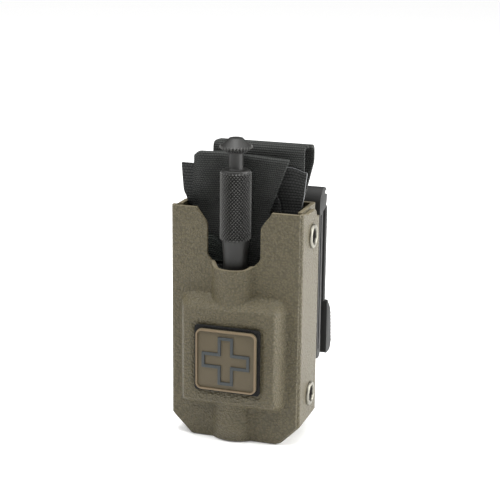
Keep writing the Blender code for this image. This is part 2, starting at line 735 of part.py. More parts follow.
def clip_base():
    """The plate against the holder, with the hinge housing on top and two latch posts."""
    half = CLIP_WIDTH / 2
    side = [
        (CLIP_FRONT_Y, CLIP_BOTTOM + 0.001),
        (CLIP_FRONT_Y + 0.001, CLIP_BOTTOM),
        (CLIP_BACK_Y - 0.001, CLIP_BOTTOM),
        (CLIP_BACK_Y, CLIP_BOTTOM + 0.001),
        (CLIP_BACK_Y, HINGE_Z - HOOD_RADIUS),
    ]
    side += arc((HINGE_Y, HINGE_Z), HOOD_RADIUS, -60, 110, 8)
    side += [(CLIP_FRONT_Y + 0.0006, HINGE_Z + 0.0022), (CLIP_FRONT_Y, HINGE_Z - 0.0010)]
    base = plate("clip_base", side, -half, half, "YZ", clip_plastic())
    for way in (-1, 1):
        inner = (way * (half - 0.0060), way * (half - 0.0010))
        low = (min(inner), CLIP_BACK_Y - 0.001, CLIP_BOTTOM + 0.0006)
        high = (max(inner), CLIP_BACK_Y + 0.0045, CLIP_BOTTOM + 0.0090)
        join(base, box(f"post_{way}", low, high))
    room = KNUCKLE_WIDTH / 2 + GAP
    clear = KNUCKLE_RADIUS + 2 * GAP
    low = HINGE_Z - HOOD_RADIUS - 2 * GAP
    cut(
        base,
        box("knuckle_room", (-room, HINGE_Y - clear, low), (room, HINGE_Y + 0.01, HINGE_Z + 0.02)),
        rod("pin_bore", (0, HINGE_Y, HINGE_Z), (1, 0, 0), PIN_RADIUS + 0.0002, CLIP_WIDTH - 0.006, steps=16),
    )
    for way in (-1, 1):
        for height in SCREWED_BOSSES:
            place = (way * BOSS_X, CLIP_BACK_Y, height)
            bore = NUT_BARREL_RADIUS + GAP
            cut(base, rod(f"screw_hole_{way}_{height}", place, (0, 1, 0), bore, 0.02, steps=16))
            sink = rod(f"head_sink_{way}_{height}", place, (0, 1, 0), SCREW_HEAD_RADIUS + GAP, 0.0036)
            cut(base, sink)
        place = (way * SPACER_SCREW_X, CLIP_FRONT_Y, SPACER_Z)
        cut(base, rod(f"spacer_hole_{way}", place, (0, 1, 0), SCREW_RADIUS + GAP, 0.02, steps=16))
        cut(base, rod(f"spacer_sink_{way}", place, (0, 1, 0), SCREW_HEAD_RADIUS, 0.0040, steps=20))
    return base


def lever_outline():
    """The ridged grip's side: a short slope, an almost upright ridged face and a round foot."""
    inner = FLAP_OUTER_Y + GRIP_INSET
    shoulder = Vector((FLAP_OUTER_Y + GRIP_REACH - 0.0018, GRIP_TOP - GRIP_SHOULDER))
    slope_foot = Vector((FLAP_OUTER_Y + GRIP_REACH, GRIP_BOTTOM + GRIP_ROUND))
    along = (slope_foot - shoulder).normalized()
    outwards = Vector((-along.y, along.x))
    points = [(inner, GRIP_TOP - 0.0012), (inner + 0.0010, GRIP_TOP - GAP), tuple(shoulder)]
    start = slope_foot - along * (RIDGE_COUNT * RIDGE_PITCH)
    for number in range(RIDGE_COUNT):
        foot = start + along * (number * RIDGE_PITCH)
        crest = foot + along * (RIDGE_PITCH / 2) + outwards * RIDGE_DEPTH
        points += [tuple(foot), tuple(crest)]
    points += arc((slope_foot.x - GRIP_ROUND, slope_foot.y), GRIP_ROUND, 0, -90, 4)
    points += [(inner + 0.0010, GRIP_BOTTOM), (inner, GRIP_BOTTOM + 0.0010)]
    return points


def clip_flap():
    """The swinging half: knuckle, arm, belt plate, and the core between the two grips."""
    half = CLIP_WIDTH / 2 - 0.0005
    panel = [
        (FLAP_INNER_Y, GRIP_TOP),
        (FLAP_OUTER_Y, GRIP_TOP),
        (FLAP_OUTER_Y, FLAP_TOP - 0.0015),
        (FLAP_OUTER_Y - 0.0015, FLAP_TOP),
        (FLAP_INNER_Y, FLAP_TOP),
    ]
    flap = plate("clip_flap", panel, -half, half, "YZ", clip_plastic())
    knuckle_half = KNUCKLE_WIDTH / 2
    arm = [
        (FLAP_INNER_Y, FLAP_TOP - 0.0060),
        (FLAP_OUTER_Y - 0.0004, FLAP_TOP - 0.0060),
        (FLAP_OUTER_Y - 0.0004, FLAP_TOP),
        (HINGE_Y + 0.0012, HINGE_Z + KNUCKLE_RADIUS - 0.0003),
        (HINGE_Y + 0.0012, HINGE_Z - KNUCKLE_RADIUS + 0.0003),
        (FLAP_INNER_Y, FLAP_TOP - 0.0030),
    ]
    arm_block = plate("arm", arm, -knuckle_half, knuckle_half, "YZ")
    barrel = rod("knuckle", (0, HINGE_Y, HINGE_Z), (1, 0, 0), KNUCKLE_RADIUS, KNUCKLE_WIDTH, steps=24)
    core_half = CORE_WIDTH / 2
    core = [
        (FLAP_INNER_Y, GRIP_TOP + 0.004),
        (FLAP_INNER_Y, GRIP_BOTTOM + 0.002),
        (FLAP_INNER_Y + 0.0015, GRIP_BOTTOM),
        (FLAP_OUTER_Y + GRIP_REACH * 0.7, GRIP_BOTTOM),
        (FLAP_OUTER_Y + GRIP_REACH * 0.8, GRIP_BOTTOM + 0.003),
        (FLAP_OUTER_Y - 0.0002, GRIP_TOP + 0.004),
    ]
    core_block = plate("core", core, -core_half, core_half, "YZ")
    join(flap, arm_block, barrel, core_block)
    cut(flap, rod("flap_bore", (0, HINGE_Y, HINGE_Z), (1, 0, 0), PIN_RADIUS + 0.0002, 0.05, steps=16))
    pocket_low, pocket_high = tongue_corners(GAP)
    reach = core_half + 0.001
    cut(flap, box("tongue_pocket", (-reach, *pocket_low), (reach, *pocket_high)))
    return flap


def tongue_corners(clearance):
    """The guide tongue's low and high corners in Y and Z, grown by a clearance."""
    low = (FLAP_OUTER_Y - clearance, TONGUE_BOTTOM - clearance)
    high = (FLAP_OUTER_Y + 0.0030 + clearance, TONGUE_BOTTOM + TONGUE_HEIGHT + clearance)
    return low, high


def lever(name, side):
    """A squeeze grip with a guide tongue that runs in the flap's core."""
    outer = CLIP_WIDTH / 2
    edges = sorted((side * outer, side * (outer - LEVER_WIDTH)))
    grip = plate(name, lever_outline(), edges[0], edges[1], "YZ", clip_plastic())
    low, high = tongue_corners(0)
    tongue = sorted((side * (outer - LEVER_WIDTH + 0.001), side * 0.0065))
    return join(grip, box(name + "_tongue", (tongue[0], *low), (tongue[1], *high)))


def belt_spacer():
    """A bar with two round lobes that takes up the slack of a narrow belt."""
    base_y = CLIP_BACK_Y + GAP
    lobe = SPACER_LOBE
    tip = FLAP_INNER_Y - GAP - lobe
    outline = [(base_y, SPACER_Z - 2 * lobe), (tip, SPACER_Z - 2 * lobe)]
    outline += arc((tip, SPACER_Z - lobe), lobe, -80, 70, 6)
    outline += arc((tip, SPACER_Z + lobe), lobe, -70, 80, 6)
    outline += [(tip, SPACER_Z + 2 * lobe), (base_y, SPACER_Z + 2 * lobe)]
    half = CLIP_WIDTH / 2 - 0.002
    spacer = plate("belt_spacer", outline, -half, half, "YZ", clip_plastic())
    for way in (-1, 1):
        place = (way * SPACER_SCREW_X, base_y, SPACER_Z)
        cut(spacer, rod(f"spacer_thread_{way}", place, (0, 1, 0), SCREW_RADIUS + GAP, 0.006, steps=16))
    return spacer


def screw(name, x, z, head_y, tip_y):
    """A pan-head screw along Y: its head at head_y, its tip at tip_y."""
    way = 1 if tip_y > head_y else -1
    length = abs(tip_y - head_y)
    profile = [
        (0, 0.0014),
        (SCREW_HEAD_RADIUS - 0.0012, 0.0014),
        (SCREW_HEAD_RADIUS - 0.0004, 0.0008),
        (SCREW_HEAD_RADIUS - 0.0004, 0),
        (SCREW_RADIUS, 0),
        (SCREW_RADIUS, -length + 0.0004),
        (SCREW_RADIUS - 0.0004, -length),
        (0, -length),
    ]
    turn = Matrix.Rotation(way * pi / 2, 4, "X")
    return turned(name, profile, Matrix.Translation((x, head_y, z)) @ turn, rod_metal(), 16)


def clip_fasteners():
    nut_back = BACK_Y + BOSS_PROUD - WALL - GAP
    bore = SCREW_RADIUS + 0.0002
    number = 0
    for side in (-1, 1):
        for height in SCREWED_BOSSES:
            number += 1
            profile = [
                (NUT_BARREL_RADIUS, 0.0050),
                (NUT_BARREL_RADIUS, 0),
                (NUT_FLANGE_RADIUS, 0),
                (NUT_FLANGE_RADIUS, -0.0009),
                (bore, -0.0009),
                (bore, 0.0050),
            ]
            turn = Matrix.Rotation(-pi / 2, 4, "X")
            place = Matrix.Translation((side * BOSS_X, nut_back, height)) @ turn
            turned(f"clip_nut_{number}", profile, place, bright_metal(), 16, ring=True)
            head_y = CLIP_BACK_Y - 0.0018 + GAP
            screw(f"clip_screw_{number}", side * BOSS_X, height, head_y, nut_back - 0.0004)
    for index, side in enumerate((-1, 1), 1):
        head_y = CLIP_FRONT_Y + 0.0020 - GAP
        screw(f"spacer_screw_{index}", side * SPACER_SCREW_X, SPACER_Z, head_y, CLIP_BACK_Y + 0.0028)


def hinge_pin():
    length = CLIP_WIDTH - 0.007
    return rod("hinge_pin", (0, HINGE_Y, HINGE_Z), (1, 0, 0), PIN_RADIUS, length, rod_metal(), 16)


def guide(name, place):
    """An empty on a joint's axis."""
    made = bpy.data.objects.new(name, None)
    made.empty_display_size = 0.01
    cutters.objects.link(made)
    made.location = place
    return made


def hang(parent, *names):
    """Parent pieces to a guide without moving them."""
    bpy.context.view_layer.update()
    for name in names:
        piece = bpy.data.objects[name]
        piece.parent = parent
        piece.matrix_parent_inverse = parent.matrix_world.inverted()


def main():
    global parts, cutters
    for old in list(bpy.data.objects):
        bpy.data.objects.remove(old)
    parts = bpy.data.collections.new("tourniquet")
    cutters = bpy.data.collections.new("cutters")
    bpy.context.scene.collection.children.link(parts)
    bpy.context.scene.collection.children.link(cutters)

    front_shell()
    back_shell()
    for side_name, side in (("left", -1), ("right", 1)):
        for level, height in EYELET_HEIGHTS.items():
            eyelet(f"eyelet_{side_name}_{level}", side, height)
    patch()
    rod_piece, middle = windlass()
    tension_band(middle)
    soft_parts()
    metalwork()
    clip_base()
    clip_flap()
    hinge_pin()
    lever("lever_left", -1)
    lever("lever_right", 1)
    belt_spacer()
    clip_fasteners()

    draw = guide("draw_axis", (0, 0, CASE_HEIGHT))
    hang(
        draw, "tension_band", "main_strap", "left_tail", "right_tail", "base_plate",
        "keeper_tab", "buckle_frame", "buckle_hook", "lock_ring", "ring_keeper",
    )
    turn = guide("windlass_axis", (WINDLASS_X, WINDLASS_Y, middle))
    hang(turn, "windlass")
    hang(draw, "windlass_axis")
    swing = guide("flap_axis", (0, HINGE_Y, HINGE_Z))
    hang(swing, "clip_flap", "lever_left", "lever_right")


main()
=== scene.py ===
"""Looks of a windlass tourniquet packed in a formed belt holder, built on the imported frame."""

import logging
import math
from dataclasses import dataclass, field
from enum import Enum
from typing import Any, Callable, Optional, Sequence

import bmesh
import bpy
import numpy as np
from mathutils import Matrix, Vector


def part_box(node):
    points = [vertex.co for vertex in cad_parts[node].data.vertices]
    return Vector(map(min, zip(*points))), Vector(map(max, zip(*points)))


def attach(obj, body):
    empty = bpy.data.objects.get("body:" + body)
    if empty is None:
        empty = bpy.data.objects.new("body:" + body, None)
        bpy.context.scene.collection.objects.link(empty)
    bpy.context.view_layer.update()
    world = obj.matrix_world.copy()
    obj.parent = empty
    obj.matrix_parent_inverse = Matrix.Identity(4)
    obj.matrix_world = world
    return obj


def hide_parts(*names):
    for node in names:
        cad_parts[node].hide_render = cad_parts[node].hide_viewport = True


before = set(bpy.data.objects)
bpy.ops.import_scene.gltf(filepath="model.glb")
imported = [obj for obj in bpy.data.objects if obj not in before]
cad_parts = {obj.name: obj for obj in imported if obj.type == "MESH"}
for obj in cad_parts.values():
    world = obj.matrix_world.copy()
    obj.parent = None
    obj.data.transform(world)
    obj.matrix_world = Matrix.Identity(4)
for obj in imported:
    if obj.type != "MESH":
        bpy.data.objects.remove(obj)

log = logging.getLogger("tourniquet")

Point2 = tuple[float, float]
MM = 0.001


class Plane(Enum):
    """The plane that a flat outline is drawn in."""

    XZ = "XZ"
    YZ = "YZ"
    XY = "XY"


class Body(Enum):
    """The moving bodies that pieces ride on."""

    HOLDER = "holder"
    TOURNIQUET = "tourniquet"
    WINDLASS = "windlass"
    FLAP = "flap"
    LEFT_LEVER = "left_lever"
    RIGHT_LEVER = "right_lever"


class Weave(Enum):
    """How a webbing is woven: the rib pitch along it and the yarn pitch across it, in metres."""

    FINE = (0.00088, 0.00094)
    COARSE = (0.00120, 0.00125)
    KNIT = (0.00095, 0.00095)


# ---------------------------------------------------------------- shader building


class Value:
    """A number socket that Python's operators extend with Math nodes."""

    def __init__(self, graph: "Graph", socket: Any) -> None:
        """Keep the graph and the socket that carries the number."""
        self.graph = graph
        self.socket = socket

    def _math(self, operation: str, *others: Any, flip: bool = False) -> "Value":
        """Add one Math node.

        Args:
            operation: The Math node's operation.
            others: The remaining operands, numbers or values.
            flip: Whether this value comes second.

        Returns:
            The node's result.
        """
        terms = [self, *others]
        if flip:
            terms.reverse()
        made = self.graph.node("ShaderNodeMath", {"operation": operation}, dict(enumerate(terms)))
        return Value(self.graph, made.outputs[0])

    def __add__(self, other: Any) -> "Value":
        """Sum."""
        return self._math("ADD", other)

    __radd__ = __add__

    def __sub__(self, other: Any) -> "Value":
        """Difference."""
        return self._math("SUBTRACT", other)

    def __rsub__(self, other: Any) -> "Value":
        """Reflected difference."""
        return self._math("SUBTRACT", other, flip=True)

    def __mul__(self, other: Any) -> "Value":
        """Product."""
        return self._math("MULTIPLY", other)

    __rmul__ = __mul__

    def __truediv__(self, other: Any) -> "Value":
        """Quotient."""
        return self._math("DIVIDE", other)

    def __pow__(self, other: Any) -> "Value":
        """Power."""
        return self._math("POWER", other)

    def fraction(self) -> "Value":
        """The part after the decimal point."""
        return self._math("FRACT")

    def floor(self) -> "Value":
        """The whole part."""
        return self._math("FLOOR")

    def sine(self) -> "Value":
        """Sine of an angle in radians."""
        return self._math("SINE")

    def absolute(self) -> "Value":
        """Distance from zero."""
        return self._math("ABSOLUTE")

    def clipped(self, low: float, high: float) -> "Value":
        """The value held between two numbers."""
        return self._math("MAXIMUM", low)._math("MINIMUM", high)

    def step(self, low: float, high: float) -> "Value":
        """A smooth rise from 0 at low to 1 at high."""
        made = self.graph.node(
            "ShaderNodeMapRange",
            {"interpolation_type": "SMOOTHSTEP"},
            {"Value": self, "From Min": low, "From Max": high},
        )
        return Value(self.graph, made.outputs[0])


class Graph:
    """A material's node tree, with one method that adds any node."""

    def __init__(self, name: str) -> None:
        """Start an empty material with a Principled shader.

        Args:
            name: The material's name.
        """
        self.material = bpy.data.materials.new(name)
        self.material.use_nodes = True
        self.tree = self.material.node_tree
        self.shader = self.tree.nodes["Principled BSDF"]

    def node(self, kind: str, settings: dict[str, Any], sockets: dict[Any, Any]) -> Any:
        """Add a node.

        Args:
            kind: The node's type.
            settings: Properties, set first; "stops" are a colour ramp's (position, colour) pairs.
            sockets: Input name or index to a number, a vector, a Value or an output socket.

        Returns:
            The new node.
        """
        made = self.tree.nodes.new(kind)
        for key, value in settings.items():
            if key == "stops":
                ramp = made.color_ramp
                while len(ramp.elements) < len(value):
                    ramp.elements.new(0.5)
                for element, (position, colour) in zip(ramp.elements, value):
                    element.position = position
                    element.color = (*colour, 1.0)
            else:
                setattr(made, key, value)
        for key, value in sockets.items():
            self.feed(made.inputs[key], value)
        return made

    def feed(self, socket: Any, value: Any) -> None:
        """Link or set one socket.

        Args:
            socket: The input.
            value: A number, a vector, a Value or an output socket.
        """
        if isinstance(value, Value):
            self.tree.links.new(value.socket, socket)
        elif isinstance(value, bpy.types.NodeSocket):
            self.tree.links.new(value, socket)
        else:
            socket.default_value = value

    def place(self) -> Any:
        """Object coordinates in metres."""
        return self.node("ShaderNodeTexCoord", {}, {}).outputs["Object"]

    def split(self, vector: Any) -> tuple[Value, Value, Value]:
        """A vector's three numbers."""
        made = self.node("ShaderNodeSeparateXYZ", {}, {0: vector})
        return tuple(Value(self, made.outputs[i]) for i in range(3))

    def uv(self) -> tuple[Value, Value]:
        """The piece's own UV map, in metres across and along.

        Returns:
            The numbers across and along.
        """
        made = self.node("ShaderNodeUVMap", {"uv_map": "cloth"}, {})
        across, along, _ = self.split(made.outputs[0])
        return across, along

    def noise(self, per_metre: float, detail: float = 2.0, rough: float = 0.5) -> Value:
        """Noise with features of 1 / per_metre metres."""
        sockets = {"Vector": self.place(), "Scale": per_metre, "Detail": detail, "Roughness": rough}
        return Value(self, self.node("ShaderNodeTexNoise", {}, sockets).outputs[0])

    def cells(self, per_metre: float) -> Value:
        """Distance to the nearest of scattered cell centres."""
        sockets = {"Vector": self.place(), "Scale": per_metre}
        return Value(self, self.node("ShaderNodeTexVoronoi", {}, sockets).outputs[0])

    def blend(self, factor: Any, first: Sequence[float], second: Sequence[float]) -> Any:
        """Mix two colours by a factor.

        Args:
            factor: Share of the second colour.
            first: A colour or an output socket.
            second: A colour or an output socket.

        Returns:
            The mixed colour.
        """
        settings = {"data_type": "RGBA"}
        sockets = {
            0: factor,
            6: (*first, 1.0) if not hasattr(first, "links") else first,
            7: (*second, 1.0) if not hasattr(second, "links") else second,
        }
        return self.node("ShaderNodeMix", settings, sockets).outputs[2]

    def bump(self, height: Value, depth: float, strength: float = 1.0) -> None:
        """Feed the shader's normal from a height whose full range is depth metres.

        Args:
            height: The height, 0 to 1.
            depth: Metres between the lowest and the highest.
            strength: Share of the effect.
        """
        sockets = {"Height": height, "Distance": depth, "Strength": strength}
        made = self.node("ShaderNodeBump", {}, sockets)
        self.feed(self.shader.inputs["Normal"], made.outputs[0])


@dataclass(frozen=True)
class Finish:
    """A material's plain constants; each kind of finish adds its own surface."""

    name: str
    colour: tuple[float, float, float]
    roughness: float = 0.6
    metallic: float = 0.0
    specular: float = 0.5

    def made(self) -> bpy.types.Material:
        """The finished material, built once.

        Returns:
            The material.
        """
        found = bpy.data.materials.get(self.name)
        if found:
            return found
        graph = Graph(self.name)
        graph.shader.inputs["Base Color"].default_value = (*self.colour, 1.0)
        graph.shader.inputs["Roughness"].default_value = self.roughness
        graph.shader.inputs["Metallic"].default_value = self.metallic
        graph.shader.inputs["Specular IOR Level"].default_value = self.specular
        self.surface(graph)
        return graph.material

    def tone(self, amount: float) -> tuple[float, float, float]:
        """The finish's colour made lighter or darker."""
        return tuple(min(1.0, c * amount) for c in self.colour)

    def surface(self, graph: Graph) -> None:
        """Add the finish's texture.

        Args:
            graph: The material's nodes.
        """
        cloud = graph.noise(90.0)
        colour = graph.blend(cloud, self.tone(0.92), self.tone(1.08))
        graph.feed(graph.shader.inputs["Base Color"], colour)


@dataclass(frozen=True)
class FormedSheet(Finish):
    """Thermoformed sheet with a fine haircell grain."""

    grain: float = 1150.0
    depth: float = 0.00055

    def surface(self, graph: Graph) -> None:
        """Pebbled grain with a painted highlight on each pebble's top.

        Args:
            graph: The material's nodes.
        """
        pebble = graph.cells(self.grain)
        fine = graph.noise(self.grain * 1.6, 3.0, 0.6)
        height = (1.0 - pebble) * 0.72 + fine * 0.4
        cloud = graph.noise(38.0, 3.0)
        # painted highlight: the pebble tops are coloured lighter, with a slow random cloud mixed in
        grain_highlight_and_cloud = (height * 0.85 + cloud * 0.15).clipped(0.0, 1.0).step(0.34, 0.86)
        colour = graph.blend(grain_highlight_and_cloud, self.tone(0.78), self.tone(1.26))
        graph.feed(graph.shader.inputs["Base Color"], colour)
        graph.feed(graph.shader.inputs["Roughness"], self.roughness - height * 0.12)
        graph.bump(height, self.depth)


@dataclass(frozen=True)
class CutEdge(Finish):
    """A sawn and buffed sheet edge: smoother and lighter than the face."""

    def surface(self, graph: Graph) -> None:
        """Fine scratches along the edge.

        Args:
            graph: The material's nodes.
        """
        scratch = graph.noise(2600.0, 4.0, 0.7)
        colour = graph.blend(scratch, self.tone(0.85), self.tone(1.15))
        graph.feed(graph.shader.inputs["Base Color"], colour)
        graph.bump(scratch, 0.00004)


@dataclass(frozen=True)
class Pile(Finish):
    """Hook-and-loop pile: a dense mat of fine loops."""

    def surface(self, graph: Graph) -> None:
        """Tufts with painted shade in the gaps between them and painted light on their tops.

        Args:
            graph: The material's nodes.
        """
        tuft = graph.cells(2200.0)
        fuzz = graph.noise(5200.0, 3.0, 0.7)
        height = (1.0 - tuft) * 0.7 + fuzz * 0.5
        # painted shade: the gaps between the tufts are coloured darker, and the tuft tops lighter
        colour = graph.blend(height.step(0.3, 1.0), self.tone(0.45), self.tone(1.7))
        graph.feed(graph.shader.inputs["Base Color"], colour)
        graph.bump(height, 0.00025)


@dataclass(frozen=True)
class Vinyl(Finish):
    """Moulded soft vinyl: almost smooth, with a faint orange-peel."""

    def surface(self, graph: Graph) -> None:
        """Faint dimples and an uneven sheen.

        Args:
            graph: The material's nodes.
        """
        peel = graph.noise(2400.0, 3.0, 0.6)
        cloud = graph.noise(160.0, 2.0)
        colour = graph.blend(cloud * 0.6 + peel * 0.4, self.tone(0.88), self.tone(1.12))
        graph.feed(graph.shader.inputs["Base Color"], colour)
        graph.feed(graph.shader.inputs["Roughness"], self.roughness + peel * 0.12 - 0.06)
        graph.bump(peel, 0.00003)


@dataclass(frozen=True)
class Woven(Finish):
    """Woven nylon webbing, patterned on the piece's own UV map."""

    weave: Weave = Weave.FINE
    depth: float = 0.00034
    contrast: float = 3.4

    def surface(self, graph: Graph) -> None:
        """Ribs across the webbing, split into staggered yarns, with a fuzzy sheen.

        Args:
            graph: The material's nodes.
        """
        rib, yarn = self.weave.value
        across, along = graph.uv()
        row = along / rib
        shift = row.floor() * 0.5
        rib_wave = (row.fraction() - 0.5).absolute() * 2.0
        yarn_wave = ((across / yarn + shift).fraction() - 0.5).absolute() * 2.0
        height = (1.0 - rib_wave * rib_wave) * 0.6 + (1.0 - yarn_wave * yarn_wave) * 0.4
        fuzz = graph.noise(5200.0, 3.0, 0.7)
        patchy_noise = graph.noise(210.0, 3.0, 0.6)
        rough_height = height * 0.8 + fuzz * 0.35
        lit = (rough_height * 0.9 + patchy_noise * 0.25).step(0.42, 1.15)
        colour = graph.blend(lit, self.tone(0.08), self.tone(self.contrast))
        graph.feed(graph.shader.inputs["Base Color"], colour)
        graph.feed(graph.shader.inputs["Roughness"], self.roughness - lit * 0.18)
        graph.bump(rough_height, self.depth)


@dataclass(frozen=True)
class Anodised(Finish):
    """Hard-anodised aluminium with faint lathe marks round the rod."""

    def surface(self, graph: Graph) -> None:
        """Turning lines along the axis and a cloudy oxide.

        Args:
            graph: The material's nodes.
        """
        _, _, height = graph.split(graph.place())
        lines = (height * (2.0 * math.pi / 0.00032)).sine() * 0.5 + 0.5
        cloud = graph.noise(420.0, 4.0, 0.6)
        colour = graph.blend(cloud * 0.7 + lines * 0.3, self.tone(0.8), self.tone(1.2))
        graph.feed(graph.shader.inputs["Base Color"], colour)
        graph.feed(graph.shader.inputs["Roughness"], self.roughness + cloud * 0.16 - 0.08)
        graph.bump(lines * 0.5 + cloud * 0.5, 0.00002)


@dataclass(frozen=True)
class Knurled(Finish):
    """Anodised knurl: painted shade in the grooves and a painted highlight on the points, by distance from
    the rod's axis.
    """

    axis: Point2 = (-0.0012, -0.0079)
    root: float = 0.00572
    crest: float = 0.00622

    def surface(self, graph: Graph) -> None:
        """Painted highlights on the points over painted shade in the grooves.

        Args:
            graph: The material's nodes.
        """
        x, y, _ = graph.split(graph.place())
        across, deep = x - self.axis[0], y - self.axis[1]
        radius = (across * across + deep * deep) ** 0.5
        patchy_noise = graph.noise(900.0, 3.0, 0.6)
        # painted shade and highlight: darkest at the groove roots, lightest at the crests, with a random
        # wobble in where it changes
        lift = (radius + patchy_noise * 0.00012 - 0.00006).step(self.root, self.crest)
        colour = graph.blend(lift, self.tone(0.30), self.tone(1.35))
        graph.feed(graph.shader.inputs["Base Color"], colour)
        graph.feed(graph.shader.inputs["Roughness"], self.roughness + patchy_noise * 0.1)


@dataclass(frozen=True)
class Plated(Finish):
    """Bright plating with small dents and tarnish."""

    def surface(self, graph: Graph) -> None:
        """Uneven reflection and darker spots.

        Args:
            graph: The material's nodes.
        """
        cloud = graph.noise(700.0, 3.0, 0.6)
        spots = graph.noise(2600.0, 2.0).step(0.55, 0.75)
        colour = graph.blend(spots * 0.6 + cloud * 0.2, self.colour, self.tone(0.55))
        graph.feed(graph.shader.inputs["Base Color"], colour)
        graph.feed(graph.shader.inputs["Roughness"], self.roughness + cloud * 0.2)
        graph.bump(cloud, 0.00006)


@dataclass(frozen=True)
class FilledNylon(Finish):
    """Glass-filled nylon: satin, with a fine spark-eroded texture and lighter rubbed spots."""

    def surface(self, graph: Graph) -> None:
        """Fine mould texture and soft rubbing.

        Args:
            graph: The material's nodes.
        """
        spark = graph.noise(3800.0, 3.0, 0.7)
        rub = graph.noise(120.0, 4.0, 0.6).step(0.35, 0.8)
        colour = graph.blend(rub * 0.6 + spark * 0.4, self.tone(0.85), self.tone(1.25))
        graph.feed(graph.shader.inputs["Base Color"], colour)
        graph.feed(graph.shader.inputs["Roughness"], self.roughness + spark * 0.14 - rub * 0.06)
        graph.bump(spark, 0.00004)


SHELL = FormedSheet("shell_sheet", (0.076, 0.0640, 0.0350), 0.52, specular=0.35)
EDGE = CutEdge("shell_edge", (0.125, 0.106, 0.066), 0.5)
PILE = Pile("loop_pile", (0.012, 0.012, 0.012), 0.95, specular=0.2)
PATCH_TAN = Vinyl("patch_vinyl_tan", (0.065, 0.0490, 0.0225), 0.62)
PATCH_RIM = Vinyl("patch_vinyl_rim", (0.132, 0.094, 0.050), 0.58)
PATCH_GREY = Vinyl("patch_vinyl_grey", (0.021, 0.026, 0.0270), 0.58)
WEBBING = Woven("webbing_fine", (0.0098, 0.0106, 0.0096), 0.85, specular=0.35)
COARSE_WEB = Woven(
    "webbing_coarse", (0.0085, 0.0090, 0.0086), 0.85, specular=0.35, weave=Weave.COARSE, depth=0.0003
)
KNIT = Woven(
    "knit_cloth", (0.0115, 0.0135, 0.0120), 0.95, specular=0.2, weave=Weave.KNIT, depth=0.0005, contrast=6.0
)
ROD = Anodised("windlass_anodised", (0.0130, 0.0128, 0.0115), 0.52, 0.2)
STUD = Knurled("windlass_knurl", (0.038, 0.0377, 0.0350), 0.44, 0.25)
NICKEL = Plated("eyelet_nickel", (0.24, 0.23, 0.195), 0.36, 1.0)
# painted shade: the eyelets' bore is the same plating, coloured much darker for the shade inside the hole
BORE = Plated("eyelet_bore", (0.035, 0.033, 0.030), 0.5, 0.6)
BLACK_STEEL = Plated("black_steel", (0.10, 0.10, 0.10), 0.38, 0.85)
NYLON = FilledNylon("clip_nylon", (0.0115, 0.0115, 0.0108), 0.55, specular=0.25)
SHEET_BLACK = FilledNylon("stiffener_sheet", (0.02, 0.02, 0.02), 0.5)
RING_NYLON = FilledNylon("ring_nylon", (0.025, 0.025, 0.025), 0.45)
MELT = Vinyl("melted_end", (0.05, 0.052, 0.055), 0.3)


# ---------------------------------------------------------------- mesh building


def step(low: float, high: float, value: np.ndarray) -> np.ndarray:
    """A smooth rise from 0 at low to 1 at high."""
    t = np.clip((value - low) / (high - low), 0.0, 1.0)
    return t * t * (3.0 - 2.0 * t)


def soft_max(first: np.ndarray, second: np.ndarray, reach: float) -> np.ndarray:
    """The larger of two heights, with a fillet of the given reach where they cross."""
    return 0.5 * (first + second + np.sqrt((first - second) ** 2 + reach * reach))


def arc(centre: Point2, radius: float, start: float, end: float, steps: int) -> list[Point2]:
    """Points of a round stretch, angles in degrees."""
    turn = [math.radians(start + (end - start) * i / steps) for i in range(steps + 1)]
    return [(centre[0] + radius * math.cos(a), centre[1] + radius * math.sin(a)) for a in turn]


def rounded_box(centre: Point2, width: float, height: float, radius: float, steps: int = 8) -> list[Point2]:
    """A rectangle's outline with round corners.

    Args:
        centre: The middle.
        width: First extent.
        height: Second extent.
        radius: Corner radius.
        steps: Segments per corner.

    Returns:
        The closed outline.
    """
    outline: list[Point2] = []
    for side_u, side_v, start in ((1, 1, 0), (-1, 1, 90), (-1, -1, 180), (1, -1, 270)):
        u = centre[0] + side_u * (width / 2 - radius)
        v = centre[1] + side_v * (height / 2 - radius)
        outline += arc((u, v), radius, start, start + 90, steps)
    return outline


